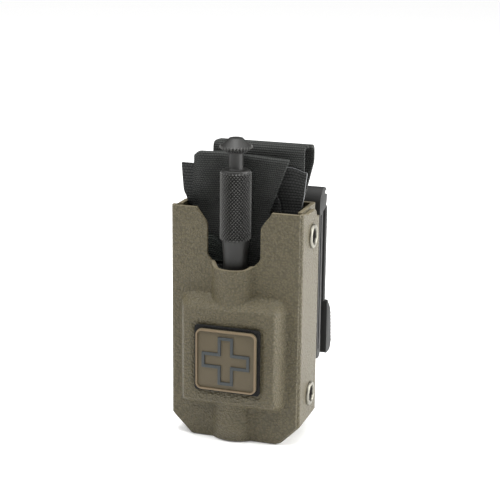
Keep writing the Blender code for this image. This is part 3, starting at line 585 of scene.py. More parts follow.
class Maker:
    """Makes finished pieces: objects at the origin whose place is in their mesh."""

    @staticmethod
    def link(name: str, mesh: bpy.types.Mesh, *finishes: Finish) -> bpy.types.Object:
        """Put a mesh in the scene with its finishes.

        Args:
            name: The piece's name.
            mesh: Its mesh.
            finishes: Its surfaces, in slot order.

        Returns:
            The new object.
        """
        made = bpy.data.objects.new(name, mesh)
        bpy.context.scene.collection.objects.link(made)
        for finish in finishes:
            mesh.materials.append(finish.made())
        return made

    @staticmethod
    def settle(piece: bpy.types.Object, smooth_angle: Optional[float] = 35.0) -> bpy.types.Object:
        """Turn a piece's modifiers into a plain mesh.

        Args:
            piece: The object with live modifiers.
            smooth_angle: Edges sharper than this many degrees stay sharp; None leaves shading alone.

        Returns:
            The same object.
        """
        bpy.context.view_layer.update()
        graph = bpy.context.evaluated_depsgraph_get()
        mesh = bpy.data.meshes.new_from_object(piece.evaluated_get(graph))
        piece.modifiers.clear()
        piece.data = mesh
        if smooth_angle is not None:
            mesh.shade_smooth()
            mesh.set_sharp_from_angle(angle=math.radians(smooth_angle))
        return piece

    @staticmethod
    def bevel(piece: bpy.types.Object, width: float, segments: int = 3, angle: float = 35.0) -> None:
        """Round a piece's sharp edges.

        Args:
            piece: The object.
            width: Width of the round.
            segments: Segments across it.
            angle: Edges sharper than this many degrees are rounded.
        """
        rounding = piece.modifiers.new("round", "BEVEL")
        rounding.width = width
        rounding.segments = segments
        rounding.limit_method = "ANGLE"
        rounding.angle_limit = math.radians(angle)
        rounding.harden_normals = False

    @classmethod
    def extrude(
        cls,
        name: str,
        outline: Sequence[Point2],
        span: Point2,
        plane: Plane,
        finish: Finish,
        holes: Sequence[Sequence[Point2]] = (),
        rounding: float = 0.0,
        tools: Sequence[bpy.types.Object] = (),
    ) -> bpy.types.Object:
        """A flat outline given thickness, cut by tools and rounded.

        Args:
            name: The piece's name.
            outline: Points in the plane.
            span: Start and end along the third axis.
            plane: The outline's plane.
            finish: The surface.
            holes: Outlines left open.
            rounding: Width of the rounded edges.
            tools: Closed meshes cut out first; they are removed afterwards.

        Returns:
            The finished piece.
        """
        curve = bpy.data.curves.new(name, "CURVE")
        curve.dimensions = "2D"
        curve.fill_mode = "BOTH"
        curve.extrude = abs(span[1] - span[0]) / 2
        for loop in (outline, *holes):
            spline = curve.splines.new("POLY")
            spline.points.add(len(loop) - 1)
            for point, (u, v) in zip(spline.points, loop):
                point.co = (u, v, 0, 1)
            spline.use_cyclic_u = True
        middle = sum(span) / 2
        place = {
            Plane.XZ: Matrix.Translation((0, middle, 0)) @ Matrix.Rotation(math.pi / 2, 4, "X"),
            Plane.XY: Matrix.Translation((0, 0, middle)),
            Plane.YZ: Matrix.Translation((middle, 0, 0))
            @ Matrix(((0, 0, 1, 0), (1, 0, 0, 0), (0, 1, 0, 0), (0, 0, 0, 1))),
        }[plane]
        drawn = bpy.data.objects.new(name + "_outline", curve)
        bpy.context.scene.collection.objects.link(drawn)
        bpy.context.view_layer.update()
        graph = bpy.context.evaluated_depsgraph_get()
        mesh = bpy.data.meshes.new_from_object(drawn.evaluated_get(graph))
        bpy.data.objects.remove(drawn)
        mesh.transform(place)
        mesh.name = name
        work = bmesh.new()
        work.from_mesh(mesh)
        bmesh.ops.remove_doubles(work, verts=work.verts, dist=0.000002)
        if not holes:
            bmesh.ops.dissolve_limit(work, angle_limit=0.001, verts=work.verts, edges=work.edges)
        bmesh.ops.recalc_face_normals(work, faces=work.faces)
        work.to_mesh(mesh)
        work.free()
        made = cls.link(name, mesh, finish)
        for tool in tools:
            cut = made.modifiers.new("cut", "BOOLEAN")
            cut.operation = "DIFFERENCE"
            cut.solver = "EXACT"
            cut.object = tool
        if rounding:
            cls.bevel(made, rounding)
        cls.settle(made)
        for tool in tools:
            bpy.data.objects.remove(tool)
        return made

    @classmethod
    def lathe(
        cls,
        name: str,
        profile: Sequence[Point2],
        place: Matrix,
        finish: Finish,
        steps: int = 64,
        closed: bool = False,
        ripple: Optional[Callable[[np.ndarray, np.ndarray, np.ndarray], np.ndarray]] = None,
    ) -> bpy.types.Object:
        """A profile of (radius, height) points turned about Z, then placed.

        Args:
            name: The piece's name.
            profile: Points from the top down the outer side; ends at radius 0 unless closed.
            place: Where the turned shape goes.
            finish: The surface.
            steps: Sides round the axis.
            closed: Whether the last point joins the first.
            ripple: Given radius, height and angle, returns the radius to use.

        Returns:
            The finished piece.
        """
        work = bmesh.new()
        rings = []
        angles = np.arange(steps) * 2 * math.pi / steps
        for radius, height in profile:
            if radius < 1e-7:
                rings.append([work.verts.new((0, 0, height))])
                continue
            radii = np.full(steps, radius)
            if ripple:
                radii = ripple(radii, np.full(steps, height), angles)
            rings.append([
                work.verts.new((r * math.cos(a), r * math.sin(a), height)) for r, a in zip(radii, angles)
            ])
        pairs = list(zip(rings, rings[1:]))
        if closed:
            pairs.append((rings[-1], rings[0]))
        for upper, lower in pairs:
            for i in range(steps):
                j = (i + 1) % steps
                around = ((upper, i), (lower, i), (lower, j), (upper, j))
                unique = list(dict.fromkeys(ring[k % len(ring)] for ring, k in around))
                if len(unique) > 2:
                    work.faces.new(unique)
        bmesh.ops.recalc_face_normals(work, faces=work.faces)
        mesh = bpy.data.meshes.new(name)
        work.to_mesh(mesh)
        work.free()
        mesh.transform(place)
        made = cls.link(name, mesh, finish)
        mesh.shade_smooth()
        mesh.set_sharp_from_angle(angle=math.radians(40))
        return made

    @staticmethod
    def block(name: str, low: Sequence[float], high: Sequence[float]) -> bpy.types.Object:
        """A plain cutting block between two corners.

        Args:
            name: The tool's name.
            low: Lowest corner.
            high: Highest corner.

        Returns:
            The cutting block.
        """
        work = bmesh.new()
        bmesh.ops.create_cube(work, size=1.0)
        span = Vector(high) - Vector(low)
        bmesh.ops.scale(work, vec=span, verts=work.verts)
        bmesh.ops.translate(work, vec=(Vector(low) + Vector(high)) / 2, verts=work.verts)
        mesh = bpy.data.meshes.new(name)
        work.to_mesh(mesh)
        work.free()
        made = bpy.data.objects.new(name, mesh)
        bpy.context.scene.collection.objects.link(made)
        return made

    @staticmethod
    def bar(
        name: str, centre: Sequence[float], axis: Sequence[float], radius: float, length: float
    ) -> bpy.types.Object:
        """A plain cutting cylinder about an axis.

        Args:
            name: The tool's name.
            centre: Its middle.
            axis: Its direction.
            radius: Its radius.
            length: Its full length.

        Returns:
            The cutting cylinder.
        """
        work = bmesh.new()
        bmesh.ops.create_cone(work, cap_ends=True, segments=40, radius1=radius, radius2=radius, depth=length)
        turn = Vector((0, 0, 1)).rotation_difference(Vector(axis)).to_matrix().to_4x4()
        bmesh.ops.transform(work, matrix=Matrix.Translation(centre) @ turn, verts=work.verts)
        mesh = bpy.data.meshes.new(name)
        work.to_mesh(mesh)
        work.free()
        made = bpy.data.objects.new(name, mesh)
        bpy.context.scene.collection.objects.link(made)
        return made

    @classmethod
    def cloth(
        cls,
        name: str,
        grid: np.ndarray,
        across: np.ndarray,
        along: np.ndarray,
        thickness: float,
        *finishes: Finish,
        rim_slot: int = 0,
    ) -> bpy.types.Object:
        """A woven band from a grid of middle points.

        Args:
            name: The piece's name.
            grid: Rows along the band by columns across it, by three.
            across: Each column's distance across the band.
            along: Each row's distance along it.
            thickness: The band's thickness.
            finishes: The surfaces; the first is the face.
            rim_slot: Which finish the cut edges take.

        Returns:
            The finished piece, with its UV map in metres.
        """
        rows, columns = grid.shape[:2]
        points = [tuple(p) for p in grid.reshape(-1, 3)]
        faces = []
        for i in range(rows - 1):
            for j in range(columns - 1):
                a = i * columns + j
                faces.append((a, a + 1, a + columns + 1, a + columns))
        mesh = bpy.data.meshes.new(name)
        mesh.from_pydata(points, [], faces)
        layer = mesh.uv_layers.new(name="cloth")
        for loop in mesh.loops:
            i, j = divmod(loop.vertex_index, columns)
            layer.data[loop.index].uv = (across[j], along[i])
        made = cls.link(name, mesh, *finishes)
        thick = made.modifiers.new("thickness", "SOLIDIFY")
        thick.thickness = thickness
        thick.offset = 0.0
        thick.use_even_offset = True
        thick.material_offset_rim = rim_slot
        cls.bevel(made, thickness * 0.28, 2, 60.0)
        cls.settle(made, 60.0)
        return made


# ---------------------------------------------------------------- the holder


@dataclass
class Sheet:
    """A formed sheet bent round three sides: a face across X and two flanges along Y."""

    name: str
    half_width: float
    face_y: float
    flange_y: float
    top: float
    bottom: float
    corner_cut: float
    wall: float
    edge_round: float = 0.0013
    facing: int = -1
    face_columns: int = 112
    flange_columns: int = 26
    rows: int = 180
    curl: float = 0.0010
    ease: float = 0.012
    snap_share: float = 0.62
    bulge: Optional[Callable[[np.ndarray, np.ndarray], np.ndarray]] = None
    face_gap: Optional[Callable[[np.ndarray, np.ndarray], np.ndarray]] = None
    flange_gap: Optional[Callable[[np.ndarray, np.ndarray], np.ndarray]] = None
    flange_top: Optional[Callable[[np.ndarray], np.ndarray]] = None

    def path(self, half: np.ndarray, inset: np.ndarray) -> tuple[np.ndarray, np.ndarray, np.ndarray]:
        """The bent outline of each row.

        Args:
            half: Half width of the sheet at each row.
            inset: How far each row is drawn inwards.

        Returns:
            X and Y of every point, and which columns belong to the face.
        """
        corner = self.edge_round
        front = self.face_y - self.facing * inset
        end = self.flange_y
        slide = np.linspace(0.0, 1.0, self.flange_columns)
        turn = np.linspace(0.0, math.pi / 2, 8)[1:-1]
        xs, ys, face = [], [], []
        start_y = front - self.facing * corner
        for t in slide:
            xs.append(-half)
            ys.append(end + (start_y - end) * t)
            face.append(False)
        for a in turn:
            xs.append(-half + corner * (1 - math.cos(a)))
            ys.append(start_y + self.facing * corner * math.sin(a))
            face.append(False)
        for t in np.linspace(-1.0, 1.0, self.face_columns):
            xs.append((half - corner) * t)
            ys.append(front)
            face.append(True)
        for a in turn[::-1]:
            xs.append(half - corner * (1 - math.cos(a)))
            ys.append(start_y + self.facing * corner * math.sin(a))
            face.append(False)
        for t in slide[::-1]:
            xs.append(half)
            ys.append(end + (start_y - end) * t)
            face.append(False)
        return np.array(xs).T, np.array(ys).T, np.array(face)

    def build(self) -> bpy.types.Object:
        """The sheet with its openings snapped to their outlines, thickened and edge-rounded.

        Returns:
            The finished sheet.
        """
        down = np.linspace(self.top, self.bottom + self.curl, self.rows)
        bend = np.linspace(0.0, math.pi / 2, 7)[1:]
        z = np.concatenate([down, self.bottom + self.curl * (1 - np.sin(bend)), np.full(3, self.bottom)])
        inset = np.concatenate([
            np.zeros(self.rows), self.curl * (1 - np.cos(bend)), self.curl + np.array([1, 2.4, 4]) * MM
        ])
        full = self.half_width
        half = np.minimum(full, full - self.corner_cut + (z - self.bottom)) - inset * 0.9
        x, y, face = self.path(half, inset)
        height = np.repeat(z[:, None], x.shape[1], axis=1)
        if self.flange_top is not None:
            upper = (z >= self.top - self.ease)[:, None] & ~face[None, :]
            drop = self.flange_top(y)
            blend = np.clip((height - (self.top - self.ease)) / self.ease, 0, 1)
            height = np.where(upper, height - drop * blend, height)
        gap = np.full(x.shape, 1.0)
        cell = (self.top - self.bottom) / self.rows
        reach = cell * self.snap_share
        if self.face_gap is not None:
            x, height, gap = self.snap(self.face_gap, x, height, face[None, :] & (gap > 0), gap, reach)
        if self.flange_gap is not None:
            y, height, gap = self.snap(self.flange_gap, y, height, ~face[None, :] & (gap > 0), gap, reach)
        if self.bulge is not None:
            lift = self.bulge(x, height) * face[None, :] * (1.0 - np.clip(inset[:, None] / 0.004, 0, 1))
            y = y + self.facing * lift
        return self.surface(np.stack([x, y, height], axis=2), gap)

    @staticmethod
    def snap(
        outline: Callable[[np.ndarray, np.ndarray], np.ndarray],
        u: np.ndarray,
        v: np.ndarray,
        where: np.ndarray,
        gap: np.ndarray,
        reach: float,
    ) -> tuple[np.ndarray, np.ndarray, np.ndarray]:
        """Move the points nearest an opening's outline onto it.

        Args:
            outline: Signed distance to the opening, negative inside.
            u: First coordinate of every point.
            v: Second coordinate.
            where: Which points the opening concerns.
            gap: The signed distance kept so far.
            reach: Points nearer than this are moved.

        Returns:
            The new coordinates and the signed distance of every point.
        """
        tiny = 0.00001
        away = outline(u, v)
        slope_u = (outline(u + tiny, v) - outline(u - tiny, v)) / (2 * tiny)
        slope_v = (outline(u, v + tiny) - outline(u, v - tiny)) / (2 * tiny)
        near = where & (np.abs(away) < reach)
        u = np.where(near, u - away * slope_u, u)
        v = np.where(near, v - away * slope_v, v)
        kept = np.where(near, 0.0, away)
        return u, v, np.where(where, np.minimum(gap, kept), gap)

    def surface(self, grid: np.ndarray, gap: np.ndarray) -> bpy.types.Object:
        """Join the points into faces outside the openings, and give the sheet its wall.

        Args:
            grid: Every point, rows by columns by three.
            gap: Signed distance of every point to the openings.

        Returns:
            The finished sheet.
        """
        rows, columns = gap.shape
        index = np.arange(rows * columns).reshape(rows, columns)
        corners = np.stack([index[:-1, :-1], index[1:, :-1], index[1:, 1:], index[:-1, 1:]], axis=2)
        flat = gap.reshape(-1)
        mean = flat[corners].mean(axis=2)
        keep = corners[mean > 1e-6]
        order = keep if self.facing < 0 else keep[:, ::-1]
        used = np.unique(order)
        remap = np.full(rows * columns, -1)
        remap[used] = np.arange(len(used))
        mesh = bpy.data.meshes.new(self.name)
        mesh.from_pydata(grid.reshape(-1, 3)[used].tolist(), [], remap[order].tolist())
        made = Maker.link(self.name, mesh, SHELL, EDGE)
        thick = made.modifiers.new("wall", "SOLIDIFY")
        thick.thickness = self.wall
        thick.offset = -1.0
        thick.material_offset_rim = 1
        Maker.bevel(made, 0.00022, 2, 60.0)
        return Maker.settle(made, 50.0)


def outline_distance(points: Sequence[Point2]) -> Callable[[np.ndarray, np.ndarray], np.ndarray]:
    """Signed distance to a closed outline, negative inside.

    Args:
        points: The closed outline.

    Returns:
        A function of two coordinates.
    """
    loop = np.array(points)
    ahead = np.roll(loop, -1, axis=0)

    def distance(u: np.ndarray, v: np.ndarray) -> np.ndarray:
        """Signed distance of every point.

        Args:
            u: First coordinate of every point.
            v: Second coordinate.

        Returns:
            The distances.
        """
        best = np.full(u.shape, 1e9)
        inside = np.zeros(u.shape, bool)
        for (u0, v0), (u1, v1) in zip(loop, ahead):
            du, dv = u1 - u0, v1 - v0
            t = np.clip(((u - u0) * du + (v - v0) * dv) / (du * du + dv * dv), 0, 1)
            best = np.minimum(best, np.hypot(u - u0 - t * du, v - v0 - t * dv))
            crosses = (v0 > v) != (v1 > v)
            edge = u0 + (v - v0) * du / (dv if abs(dv) > 1e-12 else 1e-12)
            inside ^= crosses & (u < edge)
        return np.where(inside, -best, best)

    return distance


def softened(points: Sequence[Point2], radius: float, steps: int = 5) -> list[Point2]:
    """A polygon with every corner replaced by a short curve.

    Args:
        points: The polygon.
        radius: How far from a corner its curve starts.
        steps: Segments per curve.

    Returns:
        The softened outline.
    """
    made: list[Point2] = []
    count = len(points)
    for i, corner in enumerate(points):
        here = Vector(corner)
        before = Vector(points[i - 1]) - here
        after = Vector(points[(i + 1) % count]) - here
        start = here + before.normalized() * min(radius, before.length * 0.45)
        end = here + after.normalized() * min(radius, after.length * 0.45)
        for k in range(steps + 1):
            t = k / steps
            point = start.lerp(here, t).lerp(here.lerp(end, t), t)
            made.append((point.x, point.y))
    return made


@dataclass
class Holder:
    """The two formed shells and their eyelets."""

    wall: float = 0.0016
    front_y: float = -0.0105
    back_y: float = 0.0140
    corner_cut: float = 0.0083
    ridge_x: float = -0.0012
    ridge_radius: float = 0.0090
    ridge_sunk: float = 0.0026
    foot_radius: float = 0.00805
    pod_half: Point2 = (0.0220, 0.02275)
    pod_centre: Point2 = (-0.0006, 0.0376)
    pod_proud: float = 0.0072
    notch_edges: Point2 = (-0.0120, 0.0103)
    notch_floor: float = 0.0727
    notch_flare: float = 0.0047
    notch_shoulder: float = 0.0062
    notch_corner: float = 0.0042
    eyelet_y: float = 0.0035
    eyelet_heights: dict[str, float] = field(default_factory=lambda: {"upper": 0.0851, "lower": 0.0185})
    boss_x: float = 0.0198
    boss_heights: tuple[float, ...] = (0.0866, 0.0704, 0.0362)
    boss_radius: float = 0.0072
    boss_proud: float = 0.0044

    def bulge(self, x: np.ndarray, z: np.ndarray) -> np.ndarray:
        """How far the front stands proud: the rod's ridge, and the raised block round the emblem.

        Args:
            x: X of every point.
            z: Z of every point.

        Returns:
            The height of every point.
        """
        across = x - self.ridge_x
        ring = np.sqrt(np.maximum(self.ridge_radius**2 - across**2, 0.0)) - self.ridge_sunk
        above = soft_max(np.zeros_like(x), ring, 0.0013)
        narrow = np.sqrt(np.maximum(self.foot_radius**2 - across**2, 0.0)) - self.ridge_sunk
        low_bump = soft_max(np.zeros_like(x), narrow, 0.0026) * (0.70 + 0.30 * step(0.0005, 0.0070, z))
        ridge = low_bump + (above - low_bump) * step(0.018, 0.030, z)
        dx, dz = np.abs(x - self.pod_centre[0]), z - self.pod_centre[1]
        half_x, half_z = self.pod_half
        side, roof, foot = 0.0040, 0.0050, 0.0040
        u = np.clip(1.0 - (half_x + 0.0004 - dx) / side, 0.0, 1.4)
        v = np.where(dz > 0, 1.0 - (half_z + 0.0012 - dz) / roof, 1.0 - (half_z + 0.0004 + dz) / foot)
        rise = np.clip(1.0 - np.hypot(u, np.clip(v, 0.0, 1.4)), 0.0, 1.0)
        block = 0.35 * step(0.0, 1.0, rise) + 0.65 * np.sin(np.clip(rise, 0, 1) * math.pi / 2)
        panel_x, panel_z = np.abs(x + 0.0009), np.abs(z - 0.0365)
        recess = step(0.0, 0.0020, 0.0156 - panel_x) * step(0.0, 0.0020, 0.0156 - panel_z)
        pod = self.pod_proud * block - 0.0006 * recess
        return soft_max(ridge, pod, 0.0010)

    def notch(self) -> list[Point2]:
        """The cut-out's outline in X and Z.

        Returns:
            The closed outline.
        """
        left, right = self.notch_edges
        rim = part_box("front_shell")[1][2]
        corner = self.notch_corner
        points = [
            (left - self.notch_flare, rim + 0.01),
            (left - self.notch_flare, rim),
            (left, rim - self.notch_shoulder),
            (left, self.notch_floor + corner),
            (left + corner * 0.95, self.notch_floor + 0.0004),
            (right - corner * 0.95, self.notch_floor + 0.0004),
            (right, self.notch_floor + corner),
            (right, rim - self.notch_shoulder),
            (right + self.notch_flare, rim),
            (right + self.notch_flare, rim + 0.01),
        ]
        return softened(points, 0.0016)

    def eyelet_gap(self, y: np.ndarray, z: np.ndarray) -> np.ndarray:
        """Distance to the eyelets' holes in a flange.

        Args:
            y: Y of every point.
            z: Z of every point.

        Returns:
            The distances, negative inside a hole.
        """
        near = np.full(y.shape, 1.0)
        for height in self.eyelet_heights.values():
            near = np.minimum(near, np.hypot(y - self.eyelet_y, z - height) - 0.0036)
        return near

    def front(self) -> bpy.types.Object:
        """The front shell.

        Returns:
            The finished shell.
        """
        low, high = (Vector(corner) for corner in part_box("front_shell"))
        sheet = Sheet(
            "front_shell_formed",
            half_width=high.x,
            face_y=self.front_y,
            flange_y=high.y,
            top=high.z,
            bottom=low.z,
            corner_cut=self.corner_cut,
            wall=self.wall,
            bulge=self.bulge,
            face_gap=outline_distance(self.notch()),
            flange_gap=self.eyelet_gap,
            flange_top=lambda y: 0.0010 * step(-0.008, -0.004, y)
            + 0.0042 * (1 - np.sqrt(1 - np.clip((y - 0.0052) / 0.0042, 0, 0.999) ** 2)),
        )
        return sheet.build()

    def bosses(self, x: np.ndarray, z: np.ndarray) -> np.ndarray:
        """How far the back stands proud at its round bosses.

        Args:
            x: X of every point.
            z: Z of every point.

        Returns:
            The height of every point.
        """
        lift = np.zeros_like(x)
        for side in (-1, 1):
            for height in self.boss_heights:
                away = np.hypot(x - side * self.boss_x, z - height)
                lift = np.maximum(lift, self.boss_proud * step(0.0, 0.0008, self.boss_radius + 0.0002 - away))
        return lift

    def back(self) -> bpy.types.Object:
        """The back shell, nested inside the front one.

        Returns:
            The finished shell.
        """
        low, high = (Vector(corner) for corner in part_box("back_shell"))
        inset = self.wall + 0.0003
        sheet = Sheet(
            "back_shell_formed",
            half_width=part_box("front_shell")[1][0] - inset,
            face_y=self.back_y,
            flange_y=low.y,
            top=high.z,
            bottom=low.z,
            corner_cut=self.corner_cut - inset * 0.6,
            wall=self.wall,
            facing=1,
            face_columns=140,
            flange_columns=18,
            rows=210,
            edge_round=0.0012,
            bulge=self.bosses,
            flange_gap=self.eyelet_gap,
        )
        return sheet.build()

    def floor_plate(self) -> bpy.types.Object:
        """The closed bottom, with its two drain holes.

        Returns:
            The finished plate.
        """
        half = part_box("front_shell")[1][0] - self.corner_cut - 0.0042
        holes = [rounded_box((side * 0.0105, 0.0008), 0.005, 0.005, 0.0012, 4) for side in (-1, 1)]
        outline = rounded_box((0.0, -0.0004), 2 * half, 0.0150, 0.001, 4)
        return Maker.extrude("bottom_plate", outline, (0.0001, 0.0015), Plane.XY, SHELL, holes=holes)

    def eyelet(self, side: int, name: str, height: float) -> bpy.types.Object:
        """A roll-set eyelet: domed flange outside, split petals inside the bore.

        Args:
            side: -1 for the left flange, 1 for the right.
            name: Side and level, as in its node.
            height: Height of its centre.

        Returns:
            The finished eyelet.
        """
        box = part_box(f"eyelet_{name}")
        reach = abs(box[1][0]) if side > 0 else abs(box[0][0])
        seat = reach - 0.0008
        roll, bore = 0.0049, 0.0028
        profile: list[Point2] = [(bore, seat - 0.0040)]
        profile += [(bore, seat + 0.0002), (bore + 0.0003, seat + 0.0006)]
        profile += arc((bore + 0.0010, seat - 0.0001), 0.0009, 150, 60, 5)
        profile += arc((roll - 0.0007, seat), 0.0007, 70, -10, 5)
        profile += [(roll - 0.0002, seat - 0.0002), (bore + 0.0004, seat - 0.0002)]
        profile += [(bore + 0.0004, seat - 0.0040)]

        def petals(radius: np.ndarray, level: np.ndarray, angle: np.ndarray) -> np.ndarray:
            """Scalloped inner roll.

            Args:
                radius: Radius of every point.
                level: Its height along the axis.
                angle: Its angle in radians.

            Returns:
                The new radii.
            """
            inner = (radius < bore + 0.0011) & (level > seat + 0.0001)
            return radius + np.where(inner, 0.00022 * np.abs(np.sin(angle * 4.0)), 0.0)

        turn = Matrix.Rotation(side * math.pi / 2, 4, "Y")
        place = Matrix.Translation((0, self.eyelet_y, height)) @ turn
        made = Maker.lathe(
            f"eyelet_{name}_rolled", profile[::-1], place, NICKEL, 64, closed=True, ripple=petals
        )
        # faces inside the bore take the darker finish: painted shade in the hole
        made.data.materials.append(BORE.made())
        for face in made.data.polygons:
            centre = face.center
            away = math.hypot(centre.y - self.eyelet_y, centre.z - height)
            if abs(centre.x) < seat - 0.0001 and away < bore + 0.0002:
                face.material_index = 1
        return made

    def build(self) -> None:
        """Build and hand over every holder piece."""
        front = self.front()
        plate = self.floor_plate()
        back = self.back()
        for piece in (front, plate, back):
            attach(piece, Body.HOLDER.value)
        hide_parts("front_shell")
        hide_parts("back_shell")
        for side_name, side in (("left", -1), ("right", 1)):
            for level, height in self.eyelet_heights.items():
                name = f"{side_name}_{level}"
                ring = self.eyelet(side, name, height)
                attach(ring, Body.HOLDER.value)
                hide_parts(f"eyelet_{name}")
        log.info("holder shells and eyelets built")


@dataclass
class Emblem:
    """The loop panel and the square patch with its rim and cross."""

    centre: Point2 = (-0.0009, 0.0365)
    size: float = 0.0254
    corner: float = 0.0026
    rim: float = 0.0008
    cross_span: float = 0.0200
    cross_arm: float = 0.0064
    cross_stroke: float = 0.0012

    def cross(self, reach: float, half_arm: float) -> list[Point2]:
        """A plus sign with square ends.

        Args:
            reach: Half the full span.
            half_arm: Half an arm's width.

        Returns:
            The closed outline.
        """
        points: list[Point2] = []
        for turn in range(4):
            angle = turn * math.pi / 2
            for u, v in ((reach, -half_arm), (reach, half_arm), (half_arm, half_arm)):
                points.append((
                    self.centre[0] + u * math.cos(angle) - v * math.sin(angle),
                    self.centre[1] + u * math.sin(angle) + v * math.cos(angle),
                ))
        return points

    def build(self) -> None:
        """Build the four layers, each slightly into the one below as moulded vinyl is."""
        panel_box, body_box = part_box("loop_panel"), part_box("patch_body")
        rim_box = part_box("patch_rim")
        panel_size = panel_box[1][0] - panel_box[0][0]
        panel = Maker.extrude(
            "loop_panel_pile",
            rounded_box(self.centre, panel_size, panel_size, 0.0012, 4),
            (panel_box[0][1], panel_box[1][1] + 0.0007),
            Plane.XZ,
            PILE,
            rounding=0.0002,
        )
        body_front = body_box[0][1]
        body = Maker.extrude(
            "patch_vinyl",
            rounded_box(self.centre, self.size, self.size, self.corner, 10),
            (body_front, body_box[1][1] + 0.0001),
            Plane.XZ,
            PATCH_TAN,
            rounding=0.00035,
        )
        top = rim_box[0][1] + 0.0001
        inside = self.size - 2 * self.rim
        rim = Maker.extrude(
            "patch_bead",
            rounded_box(self.centre, self.size - 0.0002, self.size - 0.0002, self.corner - 0.0001, 10),
            (top, body_front + 0.0002),
            Plane.XZ,
            PATCH_RIM,
            holes=[rounded_box(self.centre, inside, inside, self.corner - self.rim, 10)],
            rounding=0.00022,
        )
        half, arm = self.cross_span / 2, self.cross_arm / 2
        cross = Maker.extrude(
            "patch_cross_line",
            self.cross(half, arm),
            (top, body_front + 0.0002),
            Plane.XZ,
            PATCH_GREY,
            holes=[self.cross(half - self.cross_stroke, arm - self.cross_stroke)],
            rounding=0.00016,
        )
        layers = {
            "loop_panel": (panel, "loop_fabric"),
            "patch_body": (body, "patch_tan"),
            "patch_rim": (rim, "patch_rim"),
            "patch_cross": (cross, "patch_grey"),
        }
        for node, (piece, slot) in layers.items():
            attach(piece, Body.HOLDER.value)
            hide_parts(node)
        log.info("emblem built")


# ---------------------------------------------------------------- the windlass


